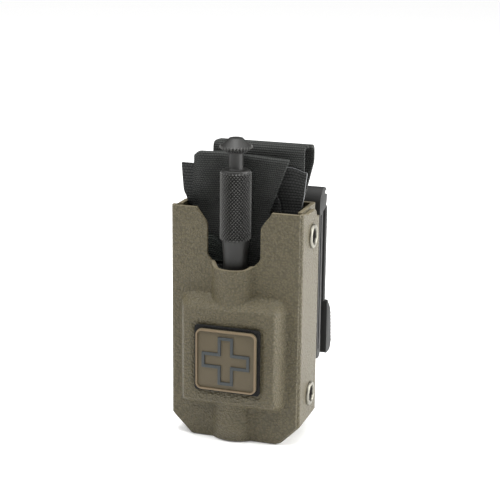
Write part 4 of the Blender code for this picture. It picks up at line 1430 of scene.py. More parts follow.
@dataclass
class Windlass:
    """The turned rod with knurled barrels."""

    barrel: float = 0.00615
    core: float = 0.00565
    waist: float = 0.00465
    neck: float = 0.00290
    barrel_length: float = 0.0284
    neck_length: float = 0.0070
    taper: float = 0.0067
    cap_slope: float = 0.00335
    cap_undercut: float = 0.0022
    slot_length: float = 0.0160
    slot_width: float = 0.0022
    columns: int = 28
    row_pitch: float = 0.00075
    stud_height: float = 0.00062
    stud_overlap: float = 1.02

    def half_profile(self, half: float) -> list[Point2]:
        """The upper half's outline from the tip to the waist.

        Args:
            half: Half the rod's length.

        Returns:
            Points as (radius, height).
        """
        edge = half - self.cap_slope
        foot = edge - self.cap_undercut
        top = foot - self.neck_length
        end = top - self.barrel_length
        points: list[Point2] = [(0, half), (0.0024, half)]
        points += [(0.0027, half - 0.0001), (0.0030, half - 0.0004)]
        points += [(self.barrel - 0.0003, edge + 0.0003), (self.barrel, edge)]
        points += [(self.barrel - 0.0002, edge - 0.0003)]
        points += [(0.0036, foot + 0.0001), (self.neck + 0.0001, foot - 0.0004)]
        points += [(self.neck, foot - 0.0010), (self.neck, top + 0.0005), (self.neck + 0.0005, top)]
        points += arc((self.core - 0.0006, top - 0.0006), 0.0006, 90, 0, 4)
        points += [(self.core, end), (self.core - 0.0002, end - 0.0008)]
        points += [(self.waist + 0.0002, end - self.taper)]
        return points

    def knurl_tree(self) -> bpy.types.NodeTree:
        """Geometry Nodes that set pointed studs in staggered rows round a barrel.

        Returns:
            The node group.
        """
        tree = bpy.data.node_groups.new("knurl", "GeometryNodeTree")
        face = tree.interface
        face.new_socket("Geometry", in_out="OUTPUT", socket_type="NodeSocketGeometry")
        for name, kind in (
            ("Rows", "NodeSocketInt"),
            ("Columns", "NodeSocketInt"),
            ("Radius", "NodeSocketFloat"),
            ("Start", "NodeSocketFloat"),
            ("Pitch", "NodeSocketFloat"),
            ("Stud Height", "NodeSocketFloat"),
            ("Slope", "NodeSocketFloat"),
            ("Finish", "NodeSocketMaterial"),
        ):
            face.new_socket(name, in_out="INPUT", socket_type=kind)

        def node(kind: str, settings: dict[str, Any], sockets: dict[Any, Any]) -> Any:
            """Add one node with its settings and sockets.

            Args:
                kind: The node's type.
                settings: Properties, set first.
                sockets: Input name or index to a number or an output socket.

            Returns:
                The new node.
            """
            made = tree.nodes.new(kind)
            for key, value in settings.items():
                setattr(made, key, value)
            for key, value in sockets.items():
                if isinstance(value, bpy.types.NodeSocket):
                    tree.links.new(value, made.inputs[key])
                else:
                    made.inputs[key].default_value = value
            return made

        def maths(operation: str, first: Any, second: Any = 0.0) -> Any:
            """One Math node's result."""
            return node("ShaderNodeMath", {"operation": operation}, {0: first, 1: second}).outputs[0]

        given = tree.nodes.new("NodeGroupInput").outputs
        index = node("GeometryNodeInputIndex", {}, {}).outputs[0]
        row = maths("FLOOR", maths("DIVIDE", index, given["Columns"]))
        column = maths("MODULO", index, given["Columns"])
        stagger = maths("MULTIPLY", maths("MODULO", row, 2.0), 0.5)
        offset = maths("MULTIPLY", maths("ADD", column, stagger), 2 * math.pi)
        turn = maths("DIVIDE", offset, given["Columns"])
        along = maths("MULTIPLY", row, given["Pitch"])
        reach = maths("ADD", given["Radius"], maths("MULTIPLY", along, given["Slope"]))
        x = maths("MULTIPLY", maths("COSINE", turn), reach)
        y = maths("MULTIPLY", maths("SINE", turn), reach)
        z = maths("ADD", given["Start"], along)
        spot = node("ShaderNodeCombineXYZ", {}, {0: x, 1: y, 2: z}).outputs[0]
        total = maths("MULTIPLY", given["Rows"], given["Columns"])
        points = node("GeometryNodePoints", {}, {"Count": total, "Position": spot}).outputs[0]
        cone = node(
            "GeometryNodeMeshCone",
            {"fill_type": "NGON"},
            {"Vertices": 4, "Side Segments": 1, "Radius Top": 0.10, "Radius Bottom": 1.0, "Depth": 1.0},
        ).outputs["Mesh"]
        girth = maths("DIVIDE", maths("MULTIPLY", given["Radius"], math.pi), given["Columns"])
        wide = maths("MULTIPLY", girth, self.stud_overlap)
        tall = maths("MULTIPLY", given["Pitch"], self.stud_overlap)
        size = node("ShaderNodeCombineXYZ", {}, {0: wide, 1: tall, 2: given["Stud Height"]}).outputs[0]
        stud = node("GeometryNodeTransform", {}, {"Geometry": cone, "Scale": size}).outputs[0]
        upright = node(
            "GeometryNodeTransform", {}, {"Geometry": stud, "Rotation": (math.pi / 2, 0.0, math.pi / 2)}
        ).outputs[0]
        angle = node("ShaderNodeCombineXYZ", {}, {2: turn}).outputs[0]
        placed = node(
            "GeometryNodeInstanceOnPoints", {}, {"Points": points, "Instance": upright, "Rotation": angle}
        ).outputs[0]
        real = node("GeometryNodeRealizeInstances", {}, {"Geometry": placed}).outputs[0]
        dressed = node(
            "GeometryNodeSetMaterial", {}, {"Geometry": real, "Material": given["Finish"]}
        ).outputs[0]
        out = tree.nodes.new("NodeGroupOutput")
        tree.links.new(dressed, out.inputs[0])
        return tree

    def knurl(
        self, name: str, start: float, rows: int, place: Matrix, slope: float, radius: float
    ) -> bpy.types.Object:
        """One knurled stretch as a plain mesh.

        Args:
            name: The piece's name.
            start: Height of the first row.
            rows: Number of rows, counted upwards.
            place: Where the rod's own frame goes.
            slope: Growth of the radius per metre of height.
            radius: The radius at the first row.

        Returns:
            The studs.
        """
        tree = bpy.data.node_groups.get("knurl") or self.knurl_tree()
        made = bpy.data.objects.new(name, bpy.data.meshes.new(name))
        bpy.context.scene.collection.objects.link(made)
        repeat = made.modifiers.new("studs", "NODES")
        repeat.node_group = tree
        values = {
            "Rows": rows,
            "Columns": self.columns,
            "Radius": radius,
            "Start": start,
            "Pitch": self.row_pitch,
            "Stud Height": self.stud_height,
            "Slope": slope,
            "Finish": STUD.made(),
        }
        for item in tree.interface.items_tree:
            if item.in_out == "INPUT":
                repeat[item.identifier] = values[item.name]
        Maker.settle(made, None)
        made.data.transform(place)
        return made

    def build(self) -> None:
        """Build the rod, cut its slot and add the knurls."""
        low, high = (Vector(corner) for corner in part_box("windlass"))
        half = (high.z - low.z) / 2
        middle = Vector(((low.x + high.x) / 2, (low.y + high.y) / 2, (low.z + high.z) / 2))
        upper = self.half_profile(half)
        lower = [(radius, -height) for radius, height in reversed(upper)]
        place = Matrix.Translation(middle)
        rod = Maker.lathe("windlass_rod", upper + lower, place, ROD, 72)
        slot = Maker.extrude(
            "slot_tool",
            rounded_box((middle.y, middle.z), self.slot_width, self.slot_length, 0.00105, 6),
            (middle.x - 0.01, middle.x + 0.01),
            Plane.YZ,
            ROD,
        )
        cut = rod.modifiers.new("slot", "BOOLEAN")
        cut.object = slot
        cut.solver = "EXACT"
        Maker.settle(rod, 40.0)
        bpy.data.objects.remove(slot)
        top = half - self.cap_slope - self.cap_undercut - self.neck_length - 0.0006
        rows = int((self.barrel_length - 0.0010) / self.row_pitch)
        start = top - rows * self.row_pitch
        pieces = [rod]
        pieces.append(self.knurl("knurl_upper", start, rows, place, 0.0, self.core + 0.00002))
        pieces.append(self.knurl("knurl_lower", -top, rows, place, 0.0, self.core + 0.00002))
        cap_low = half - self.cap_slope - self.cap_undercut + 0.0005
        slope = (self.barrel - 0.0038) / (self.cap_undercut - 0.0004)
        pieces.append(self.knurl("knurl_cap", cap_low, 3, place, slope, 0.0041))
        for piece in pieces:
            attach(piece, Body.WINDLASS.value)
            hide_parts("windlass")
        log.info("windlass built")


# ---------------------------------------------------------------- the webbing


@dataclass
class Webbing:
    """The folded webbing: every band is a grid of middle points with its own UV map."""

    columns: int = 40
    strap_width: float = 0.038
    strap_thickness: float = 0.0012
    strap_pitch: float = 0.0015

    @staticmethod
    def resample(points: np.ndarray, spacing: float) -> tuple[np.ndarray, np.ndarray]:
        """Even points along a smooth path.

        Args:
            points: Rows of (y, z, shift) that the path goes through.
            spacing: Distance between the new points.

        Returns:
            The new points and each one's distance along the path.
        """
        gaps = np.hypot(np.diff(points[:, 0]), np.diff(points[:, 1]))
        reach = np.concatenate([[0], np.cumsum(gaps)])
        count = max(8, int(reach[-1] / spacing))
        even = np.linspace(0, reach[-1], count)
        made = np.stack([np.interp(even, reach, points[:, i]) for i in range(points.shape[1])], axis=1)
        for _ in range(2):
            made[1:-1] = (made[:-2] + 2 * made[1:-1] + made[2:]) / 4
        return made, even

    def ripple(self, rows: int, columns: int, size: float, phase: float) -> np.ndarray:
        """A slow waviness over a band, different for each phase.

        Args:
            rows: Points along the band.
            columns: Points across it.
            size: Greatest height, nearly.
            phase: Shifts the pattern.

        Returns:
            The height of every point.
        """
        i = np.linspace(0, 1, rows)[:, None]
        j = np.linspace(0, 1, columns)[None, :]
        wave = np.sin(i * 23 + j * 5 + phase) * 0.5 + np.sin(i * 51 - j * 8 + phase * 2.1) * 0.3
        return wave * size

    def band(
        self,
        name: str,
        path: np.ndarray,
        width: float,
        thickness: float,
        finishes: Sequence[Finish],
        shape: Optional[Callable[[np.ndarray, np.ndarray, np.ndarray], tuple[np.ndarray, ...]]] = None,
        wave: float = 0.00012,
        spacing: float = 0.0007,
        rim_slot: int = 0,
    ) -> tuple[bpy.types.Object, float]:
        """A band whose path runs in Y and Z and whose width runs along X.

        Args:
            name: The piece's name.
            path: Rows of (y, z, left edge).
            width: The band's width.
            thickness: Its thickness.
            finishes: Its surfaces.
            shape: Given X, Y and Z of every point, returns new ones.
            wave: Size of its waviness.
            spacing: Distance between rows.
            rim_slot: Which finish its edges take.

        Returns:
            The band and its length.
        """
        even, along = self.resample(path, spacing)
        across = np.linspace(0, width, self.columns)
        x = even[:, 2][:, None] + across[None, :]
        y = np.repeat(even[:, 0][:, None], self.columns, axis=1)
        z = np.repeat(even[:, 1][:, None], self.columns, axis=1)
        if shape:
            x, y, z = shape(x, y, z)
        y = y + self.ripple(len(even), self.columns, wave, len(name) * 1.3)
        grid = np.stack([x, y, z], axis=2)
        made = Maker.cloth(name, grid, across, along, thickness, *finishes, rim_slot=rim_slot)
        return made, float(along[-1])

    def fold(self, front: float, back: float, depth: float, top: float, neck: float) -> list[Point2]:
        """Points of a fold above the rim, front leg to back leg, as (y, z).

        Args:
            front: The front leg's Y.
            back: The back leg's Y.
            depth: The loop's depth.
            top: The loop's highest Z.
            neck: Z where the legs leave the rim.

        Returns:
            The points in order.
        """
        radius = depth / 2
        middle = front + radius
        points = [(front, neck), (front, (neck + top) / 2)]
        points += arc((middle, top - radius), radius, 180, 0, 14)
        points += [(middle + radius * 0.98, top - radius - 0.004), (back, neck)]
        return points

    def main_strap(self) -> None:
        """The long webbing: over the front loop, round the bottom and over the back loop."""
        low, high = (Vector(corner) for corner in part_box("main_strap"))
        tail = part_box("left_tail")
        thickness, pitch = self.strap_thickness, self.strap_pitch
        first = low.y + thickness / 2
        layer = [first + pitch * n for n in range(6)]
        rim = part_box("front_shell")[1][2] + 0.0004
        start = low.z + 0.003
        crest = tail[1][2] + 0.0054
        front = [(layer[0], start)] + self.fold(layer[0], layer[1], pitch, crest, rim)
        turn = (layer[4] - layer[1]) / 2
        under = arc((layer[1] + turn, low.z + thickness / 2 + turn), turn, 180, 360, 12)
        depth = high.y - thickness / 2 - layer[4]
        back = self.fold(layer[4], layer[5], depth, high.z - thickness / 2, rim) + [(layer[5], start)]
        left_front, left_back = low.x, low.x + 0.0039
        rows = [(y, z, left_front) for y, z in front + under]
        middle = (layer[4] + depth / 2 + layer[5]) / 2
        for y, z in back:
            spread = 0.0012 if y > middle else -0.0012
            shift = 0.0020 + spread if z > rim + 0.001 else 0.0
            rows.append((y, z, left_back + shift))

        def shape(x: np.ndarray, y: np.ndarray, z: np.ndarray) -> tuple[np.ndarray, np.ndarray, np.ndarray]:
            """Skew the front fold: right edge drawn in, left edge forward, crest falling to the right.

            Args:
                x: X of every point.
                y: Y of every point.
                z: Z of every point.

            Returns:
                The new X, Y and Z.
            """
            folded = y < (layer[1] + layer[2]) / 2
            height = np.clip((z - rim + 0.006) / (crest - rim + 0.006), 0, 1)
            across = np.clip((x - left_front) / self.strap_width, 0, 1)
            drawn = np.clip((crest - z) / 0.023, 0, 1) * step(0.070, 0.078, z)
            x = np.where(folded, x - 0.0078 * drawn * across**1.3 - 0.0016 * drawn * (1 - across), x)
            x = np.where(folded & (x < -0.0215), -0.0215 + (x + 0.0215) * 0.2, x)
            pleat = np.exp(-(((x + 0.0172) / 0.0010) ** 2)) + 0.8 * np.exp(-(((x - 0.0105) / 0.0014) ** 2))
            y = np.where(y < layer[1] - 0.0002, y - 0.00035 * pleat * step(0.095, 0.103, z), y)
            side = step(0.0085, 0.0165, -x)
            y = np.where(y < layer[2], y - 0.0030 * side * step(0.088, 0.106, z), y)
            corner = np.clip(1 - across * self.strap_width / 0.0030, 0, 1)
            fall = 0.0020 * across + 0.0018 * corner**2
            return x, y, np.where(folded, z - fall * height, z)

        piece, length = self.band(
            "main_strap_webbing", np.array(rows), self.strap_width, thickness, (WEBBING,), shape, wave=0.0001
        )
        self.hand_over(piece, "main_strap", (self.strap_width, length), "webbing")

    def tails(self) -> None:
        """The two free ends that show beside the front loop."""
        for node, side in (("left_tail", -1), ("right_tail", 1)):
            low, high = (Vector(corner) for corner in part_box(node))
            y = (low.y + high.y) / 2
            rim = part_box("front_shell")[1][2]
            inside = -0.0190 + side * 0.0030
            if side < 0:
                at_rim, top = low.x + 0.0028, low.x + 0.0001
                rows = [(y, low.z, inside), (y, rim - 0.0058, inside), (y, rim - 0.0028, at_rim)]
                rows += [(y, rim + 0.0008, at_rim - 0.0001), (y, rim + 0.0042, top + 0.0009)]
                rows += [(y, high.z, top)]
            else:
                rows = [(y, low.z, inside), (y, rim - 0.002, inside)]
                rows += [(y, rim + 0.003, inside + 0.0014), (y, high.z, inside + 0.0024)]

            def shape(
                x: np.ndarray, y: np.ndarray, z: np.ndarray, side: int = side
            ) -> tuple[np.ndarray, np.ndarray, np.ndarray]:
                """The left end comes forward beside the rod; the right end's corner is rounded back.

                Args:
                    x: X of every point.
                    y: Y of every point.
                    z: Z of every point.
                    side: -1 for the left end, 1 for the right.

                Returns:
                    The new X, Y and Z.
                """
                if side < 0:
                    y = y - 0.0040 * step(0.0105, 0.0190, -x) * np.clip((z - 0.088) / 0.009, 0, 1)
                else:
                    y = y + 0.0006 * step(0.017, 0.0235, x) * step(0.100, 0.112, z)
                    z = z - 0.0018 * step(0.016, 0.024, x) ** 2 * np.clip((z - 0.100) / 0.012, 0, 1)
                return x, y, z

            piece, length = self.band(
                f"{node}_webbing",
                np.array(rows),
                self.strap_width,
                self.strap_thickness,
                (COARSE_WEB, MELT) if side > 0 else (COARSE_WEB, COARSE_WEB),
                shape,
                wave=0.0001,
                rim_slot=1,
            )
            self.hand_over(piece, node, (self.strap_width, length), "webbing")

    def tension_band(self) -> None:
        """The band that the rod twists, threaded through its slot."""
        low, high = (Vector(corner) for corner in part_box("tension_band"))
        rod_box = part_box("windlass")
        rod_y = (rod_box[0][1] + rod_box[1][1]) / 2
        middle = (low.x + high.x) / 2
        half = (high.x - low.x) / 2 - 0.0006
        back = high.y - 0.0006
        path = [(middle - half * 0.2, back), (middle - half * 0.92, back), (middle - half, back - 0.0008)]
        path += [(middle - half * 0.9, back - 0.0030), (middle - 0.0062, rod_y + 0.0004)]
        path += [(middle - 0.004, rod_y)]
        path += [(2 * middle - x, y) for x, y in reversed(path)]
        flat = np.array(path)
        gaps = np.hypot(*np.diff(flat, axis=0).T)
        reach = np.concatenate([[0], np.cumsum(gaps)])
        steps, columns = 120, 16
        even = np.linspace(0, reach[-1], steps)
        x, y = np.interp(even, reach, flat[:, 0]), np.interp(even, reach, flat[:, 1])
        width = high.z - low.z
        across = np.linspace(0, width, columns)
        grid = np.stack([
            np.repeat(x[:, None], columns, 1),
            np.repeat(y[:, None], columns, 1),
            low.z + np.repeat(across[None, :], steps, 0),
        ], axis=2)
        piece = Maker.cloth("tension_band_webbing", grid, across, even, 0.0008, WEBBING)
        self.hand_over(piece, "tension_band", (width, float(even[-1])), "webbing")

    def small_bands(self) -> None:
        """The knitted keeper beside the rod, and the ring's keeper loop."""
        low, high = (Vector(corner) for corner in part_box("keeper_tab"))
        y = (low.y + high.y) / 2
        width, height = high.x - low.x, high.z - low.z
        rows = [(y, low.z, low.x), (y, high.z, low.x)]

        def slanted(x: np.ndarray, y: np.ndarray, z: np.ndarray) -> tuple[np.ndarray, ...]:
            """Its top edge slopes down to the right, and its middle bulges forward a little.

            Args:
                x: X of every point.
                y: Y of every point.
                z: Z of every point.

            Returns:
                The new X, Y and Z.
            """
            rise = (z - low.z) / height
            reach = np.clip((x - low.x) / width, 0, 1)
            fall = 0.0012 * reach + 0.0048 * np.clip((reach - 0.62) / 0.38, 0, 1) ** 1.5
            return x, y - 0.0003 * np.sin(reach * 3.1), z - fall * rise

        piece, length = self.band(
            "keeper_knit", np.array(rows), width, 0.0007, (KNIT,), slanted, spacing=0.0004
        )
        self.hand_over(piece, "keeper_tab", (width, length), "knit_elastic")
        low, high = (Vector(corner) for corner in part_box("ring_keeper"))
        thickness = 0.0008
        front, back = low.y + thickness / 2, high.y - thickness / 2
        loop = [(front, low.z)] + arc(((front + back) / 2, high.z - 0.001), (back - front) / 2, 180, 0, 8)
        loop += [(back, low.z)]
        rows = [(y, z, low.x) for y, z in loop]
        width = high.x - low.x
        piece, length = self.band(
            "ring_keeper_webbing", np.array(rows), width, thickness, (WEBBING,), wave=0.0, spacing=0.0004
        )
        self.hand_over(piece, "ring_keeper", (width, length), "webbing")

    @staticmethod
    def hand_over(piece: bpy.types.Object, node: str, flat: Point2, slot: str) -> None:
        """Put a band in its node's place.

        Args:
            piece: The band.
            node: The node it stands for.
            flat: Not used.
            slot: Not used.
        """
        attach(piece, Body.TOURNIQUET.value)
        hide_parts(node)

    def build(self) -> None:
        """Build every band."""
        self.main_strap()
        self.tails()
        self.tension_band()
        self.small_bands()
        log.info("webbing built")


# ---------------------------------------------------------------- the belt clip


@dataclass
class BeltClip:
    """The hinged clip on the holder's back."""

    hinge: Point2 = (0.0246, 0.0954)
    hood: float = 0.0050
    knuckle: float = 0.0036
    belt_gap: float = 0.0060
    flap_top: float = 0.0913
    grip_top: float = 0.0497
    grip_bottom: float = 0.0252
    grip_shoulder: float = 0.0062
    grip_round: float = 0.0030
    grip_reach: float = 0.0090
    ridges: int = 9
    ridge_pitch: float = 0.0016
    ridge_depth: float = 0.00090
    grip_inset: float = 0.0010
    spacer_z: float = 0.0441
    lobe: float = 0.0027
    boss_x: float = 0.0198
    screw_heights: Point2 = (0.0866, 0.0362)
    base_gap: float = 0.0006
    flap_wall: float = 0.0030

    @property
    def flap_inner(self) -> float:
        """Where the flap's panel starts, seen from the holder."""
        return self.hinge[0] - self.base_gap + self.belt_gap

    @property
    def flap_outer(self) -> float:
        """Where the flap's panel ends."""
        return self.flap_inner + self.flap_wall

    def base(self) -> bpy.types.Object:
        """The plate against the holder, with a ribbed front and the hinge housing.

        Returns:
            The finished plate.
        """
        low, high = (Vector(corner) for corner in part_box("clip_base"))
        front = low.y
        back = self.hinge[0] - self.base_gap
        hinge_y, hinge_z = self.hinge
        side = [(front, low.z + 0.0012), (front + 0.0012, low.z)]
        side += [(back - 0.0012, low.z), (back, low.z + 0.0012), (back, hinge_z - self.hood)]
        side += arc(self.hinge, self.hood, -60, 118, 24)
        side += [(front + 0.0022, hinge_z + 0.0030), (front + 0.0006, hinge_z + 0.0010)]
        side += [(front, hinge_z - 0.0012)]
        room = 0.0158
        tools = [Maker.block(
            "room",
            (-room, hinge_y - 0.0042, hinge_z - self.hood - 0.0006),
            (room, hinge_y + 0.01, hinge_z + 0.02),
        )]
        for way in (-1, 1):
            edge = way * high.x
            tools.append(Maker.block(
                f"window_{way}",
                (min(edge - way * 0.0048, edge + way * 0.001), hinge_y + 0.0022, hinge_z + 0.0012),
                (max(edge - way * 0.0048, edge + way * 0.001), hinge_y + 0.0062, hinge_z + 0.0031),
            ))
            tools.append(Maker.block(
                f"groove_{way}",
                (min(edge - way * 0.0007, edge + way * 0.001), front + 0.0017, low.z + 0.004),
                (max(edge - way * 0.0007, edge + way * 0.001), front + 0.0029, hinge_z - 0.006),
            ))
            for height in self.screw_heights:
                spot = (way * self.boss_x, back, height)
                tools.append(Maker.bar(f"hole_{way}_{height}", spot, (0, 1, 0), 0.0023, 0.02))
                tools.append(Maker.bar(f"sink_{way}_{height}", spot, (0, 1, 0), 0.0037, 0.0036))
        return Maker.extrude(
            "clip_base_moulded", side, (low.x, high.x), Plane.YZ, NYLON, rounding=0.00045, tools=tools
        )

    def posts(self) -> list[bpy.types.Object]:
        """The two latch posts on the base.

        Returns:
            The left post and the right one.
        """
        low, high = (Vector(corner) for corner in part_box("clip_base"))
        made = []
        start = self.hinge[0] - 0.0012
        deep = 0.0052
        for way in (-1, 1):
            edges = sorted((way * (high.x - 0.0058), way * (high.x - 0.0011)))
            outline = rounded_box(((start + start + deep) / 2, low.z + 0.0048), deep, 0.0084, 0.0010, 5)
            name = "latch_post_left" if way < 0 else "latch_post_right"
            made.append(Maker.extrude(name, outline, (edges[0], edges[1]), Plane.YZ, NYLON, rounding=0.0004))
        return made

    def flap(self) -> list[bpy.types.Object]:
        """The swinging half, its knuckle and its core.

        Returns:
            The panel, the knuckle and the core.
        """
        low, high = (Vector(corner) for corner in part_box("clip_flap"))
        inner, outer = self.flap_inner, self.flap_outer
        panel = [(inner, self.grip_top), (outer, self.grip_top)]
        panel += arc((outer - 0.0014, self.flap_top - 0.0014), 0.0014, 0, 90, 6)
        panel += arc((inner + 0.0008, self.flap_top - 0.0008), 0.0008, 90, 180, 4)
        plate = Maker.extrude("clip_flap_panel", panel, (low.x, high.x), Plane.YZ, NYLON, rounding=0.0005)
        hinge_y, hinge_z = self.hinge
        arm = [(inner + 0.0003, self.flap_top - 0.0060), (outer - 0.0005, self.flap_top - 0.0060)]
        arm += [(outer - 0.0005, self.flap_top - 0.0002)]
        arm += arc(self.hinge, self.knuckle, 55, 300, 22)
        arm += [(inner + 0.0003, self.flap_top - 0.0032)]
        knuckle = Maker.extrude("clip_flap_knuckle", arm, (-0.0155, 0.0155), Plane.YZ, NYLON, rounding=0.0004)
        core = [(inner + 0.0002, self.grip_top + 0.004), (inner + 0.0002, self.grip_bottom + 0.002)]
        core += [(inner + 0.0017, self.grip_bottom), (outer + self.grip_reach * 0.66, self.grip_bottom)]
        core += [(outer + self.grip_reach * 0.78, self.grip_bottom + 0.003)]
        core += [(outer - 0.0004, self.grip_top + 0.004)]
        pocket = Maker.block("pocket", (-0.0145, outer - 0.0003, 0.0327), (0.0145, outer + 0.0033, 0.0403))
        recess = Maker.extrude(
            "recess",
            rounded_box((0.0, 0.0385), 0.0150, 0.0120, 0.002, 5),
            (outer + 0.0052, outer + 0.012),
            Plane.XZ,
            NYLON,
        )
        tools = [pocket, recess]
        block = Maker.extrude(
            "clip_flap_core", core, (-0.0135, 0.0135), Plane.YZ, NYLON, rounding=0.0005, tools=tools
        )
        return [plate, knuckle, block]

    def grip_outline(self) -> list[Point2]:
        """A squeeze grip's ridged side.

        Returns:
            The closed outline as (y, z).
        """
        outer = self.flap_outer
        inner = outer + self.grip_inset
        shoulder = Vector((outer + self.grip_reach - 0.0018, self.grip_top - self.grip_shoulder))
        foot = Vector((outer + self.grip_reach, self.grip_bottom + self.grip_round))
        along = (foot - shoulder).normalized()
        out = Vector((-along.y, along.x))
        points: list[Point2] = [(inner, self.grip_top - 0.0012), (inner + 0.0010, self.grip_top - 0.0003)]
        points += [(shoulder.x - 0.0006, shoulder.y + 0.0012), (shoulder.x, shoulder.y)]
        start = foot - along * (self.ridges * self.ridge_pitch)
        for number in range(self.ridges):
            base = start + along * (number * self.ridge_pitch)
            for k in range(6):
                t = k / 6
                rise = math.sin(math.pi * t) * self.ridge_depth
                spot = base + along * (self.ridge_pitch * t) + out * rise
                points.append((spot.x, spot.y))
        points += arc((foot.x - self.grip_round, foot.y), self.grip_round, 0, -90, 10)
        points += [(inner + 0.0010, self.grip_bottom), (inner, self.grip_bottom + 0.0010)]
        return points

    def levers(self) -> None:
        """The two squeeze grips with their guide tongues."""
        for node, side, body in (("lever_left", -1, Body.LEFT_LEVER), ("lever_right", 1, Body.RIGHT_LEVER)):
            low, high = (Vector(corner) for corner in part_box(node))
            edge = high.x if side > 0 else -low.x
            span = sorted((side * edge, side * (edge - 0.0089)))
            grip = Maker.extrude(
                f"{node}_grip", self.grip_outline(), (span[0], span[1]), Plane.YZ, NYLON, rounding=0.00022
            )
            reach = sorted((side * (edge - 0.0080), side * 0.0065))
            inner = self.flap_outer
            tongue = Maker.extrude(
                f"{node}_tongue",
                rounded_box((inner + 0.0015, 0.0365), 0.0029, 0.0069, 0.0005, 3),
                (reach[0], reach[1]),
                Plane.YZ,
                NYLON,
                rounding=0.0002,
            )
            for piece in (grip, tongue):
                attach(piece, body.value)
                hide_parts(node)

    def spacer(self) -> bpy.types.Object:
        """The lobed bar that takes up a narrow belt's slack.

        Returns:
            The finished bar.
        """
        low, high = (Vector(corner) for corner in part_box("belt_spacer"))
        tip = high.y - self.lobe
        outline = [(low.y, low.z), (tip, low.z)]
        outline += arc((tip, self.spacer_z - self.lobe), self.lobe, -80, 66, 14)
        outline += arc((tip, self.spacer_z + self.lobe), self.lobe, -66, 80, 14)
        outline += [(tip, high.z), (low.y, high.z)]
        return Maker.extrude(
            "belt_spacer_moulded", outline, (low.x, high.x), Plane.YZ, NYLON, rounding=0.0003
        )

    def build(self) -> None:
        """Build the clip's pieces."""
        base = self.base()
        for piece in (base, *self.posts()):
            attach(piece, Body.HOLDER.value)
            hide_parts("clip_base")
        for piece in self.flap():
            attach(piece, Body.FLAP.value)
            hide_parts("clip_flap")
        spacer = self.spacer()
        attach(spacer, Body.HOLDER.value)
        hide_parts("belt_spacer")
        self.levers()
        log.info("belt clip built")


@dataclass
class Hardware:
    """CAD pieces whose shape is right, given their finishes."""

    finishes: dict[str, Finish] = field(default_factory=lambda: {
        "clip_screw": BLACK_STEEL,
        "spacer_screw": BLACK_STEEL,
        "clip_nut": NICKEL,
        "hinge_pin": BLACK_STEEL,
        "buckle_frame": BLACK_STEEL,
        "buckle_hook": BLACK_STEEL,
        "lock_ring": RING_NYLON,
        "base_plate": SHEET_BLACK,
    })

    def build(self) -> None:
        """Assign each node's finish by the start of its name."""
        for name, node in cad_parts.items():
            for start, finish in self.finishes.items():
                if name.startswith(start):
                    for slot in node.material_slots:
                        slot.material = finish.made()
                    if not node.material_slots:
                        node.data.materials.append(finish.made())
        log.info("hardware dressed")


# ---------------------------------------------------------------- the studio


@dataclass
class Softbox:
    """One area light, aimed at the object."""

    name: str
    place: tuple[float, float, float]
    size: tuple[float, float]
    power: float
    aim: tuple[float, float, float] = (0.0, 0.0, 0.06)

    def build(self) -> None:
        """Add the light."""
        data = bpy.data.lights.new(self.name, "AREA")
        data.shape = "RECTANGLE"
        data.size, data.size_y = self.size
        data.energy = self.power
        made = bpy.data.objects.new(self.name, data)
        bpy.context.scene.collection.objects.link(made)
        made.location = self.place
        toward = Vector(self.aim) - Vector(self.place)
        made.rotation_euler = toward.to_track_quat("-Z", "Y").to_euler()


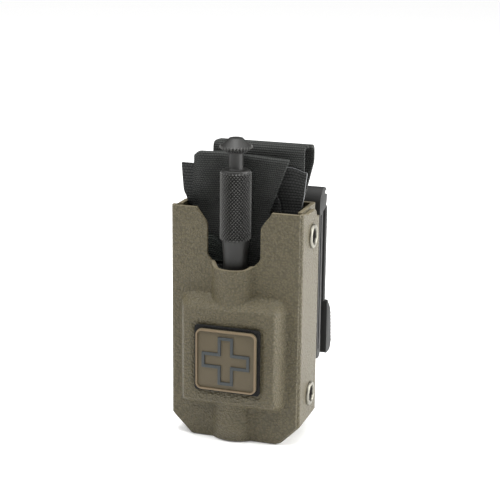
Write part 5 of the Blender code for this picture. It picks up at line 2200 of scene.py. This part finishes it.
@dataclass
class Studio:
    """Pale seamless floor, soft lights and the camera."""

    azimuth: float = 18.07
    elevation: float = 15.15
    roll: float = 0.609
    distance: float = 0.5418
    target: tuple[float, float, float] = (0.00581, -0.0105, 0.08075)
    lens: float = 99.1
    ambient: float = 0.03
    sun_power: float = 2.8
    sun_spread: float = 80.0
    floor_glow: float = 0.14
    lights: tuple[Softbox, ...] = (
        Softbox("right_softbox", (0.80, 0.22, 0.32), (0.6, 0.7), 14.2),
        Softbox("left_softbox", (-0.36, -0.24, 0.40), (0.3, 0.3), 1.75),
        Softbox("top_softbox", (-0.02, -0.16, 0.85), (0.4, 0.4), 5.0),
    )

    def camera(self) -> None:
        """The camera, a little right of the front and slightly above."""
        a, e = math.radians(self.azimuth), math.radians(self.elevation)
        back = Vector((math.sin(a) * math.cos(e), -math.cos(a) * math.cos(e), math.sin(e)))
        right = Vector((math.cos(a), math.sin(a), 0.0))
        up = back.cross(right)
        r = math.radians(self.roll)
        right, up = right * math.cos(r) + up * math.sin(r), up * math.cos(r) - right * math.sin(r)
        turn = Matrix((right, up, back)).transposed().to_4x4()
        data = bpy.data.cameras.new("camera")
        data.lens = self.lens
        data.sensor_width = 36.0
        data.clip_start = 0.01
        data.clip_end = 50.0
        made = bpy.data.objects.new("camera", data)
        bpy.context.scene.collection.objects.link(made)
        made.matrix_world = Matrix.Translation(Vector(self.target) + back * self.distance) @ turn
        bpy.context.scene.camera = made

    def floor(self) -> None:
        """A wide pale floor."""
        bpy.ops.mesh.primitive_plane_add(size=14.0, location=(0, 0, -0.00005))
        made = bpy.context.active_object
        made.name = "studio_floor"
        graph = Graph("floor_white")
        graph.shader.inputs["Base Color"].default_value = (0.93, 0.93, 0.93, 1.0)
        graph.shader.inputs["Roughness"].default_value = 0.7
        graph.shader.inputs["Specular IOR Level"].default_value = 0.2
        graph.shader.inputs["Emission Color"].default_value = (1.0, 1.0, 0.99, 1.0)
        graph.shader.inputs["Emission Strength"].default_value = self.floor_glow
        made.data.materials.append(graph.material)

    def build(self) -> None:
        """Set the stage."""
        scene = bpy.context.scene
        scene.view_settings.view_transform = "Standard"
        world = bpy.data.worlds.new("studio")
        scene.world = world
        world.use_nodes = True
        world.node_tree.nodes["Background"].inputs[0].default_value = (1.0, 1.0, 0.99, 1.0)
        world.node_tree.nodes["Background"].inputs[1].default_value = self.ambient
        sun = bpy.data.lights.new("overhead_sun", "SUN")
        sun.energy = self.sun_power
        sun.angle = math.radians(self.sun_spread)
        lamp = bpy.data.objects.new("overhead_sun", sun)
        scene.collection.objects.link(lamp)
        for light in self.lights:
            light.build()
        self.floor()
        self.camera()
        log.info("studio set")


def main() -> None:
    """Build everything in order."""
    logging.basicConfig(level=logging.INFO, format="%(name)s: %(message)s")
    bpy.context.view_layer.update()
    Studio().build()
    Holder().build()
    Emblem().build()
    Windlass().build()
    Webbing().build()
    BeltClip().build()
    Hardware().build()


if __name__ == "__main__":
    main()
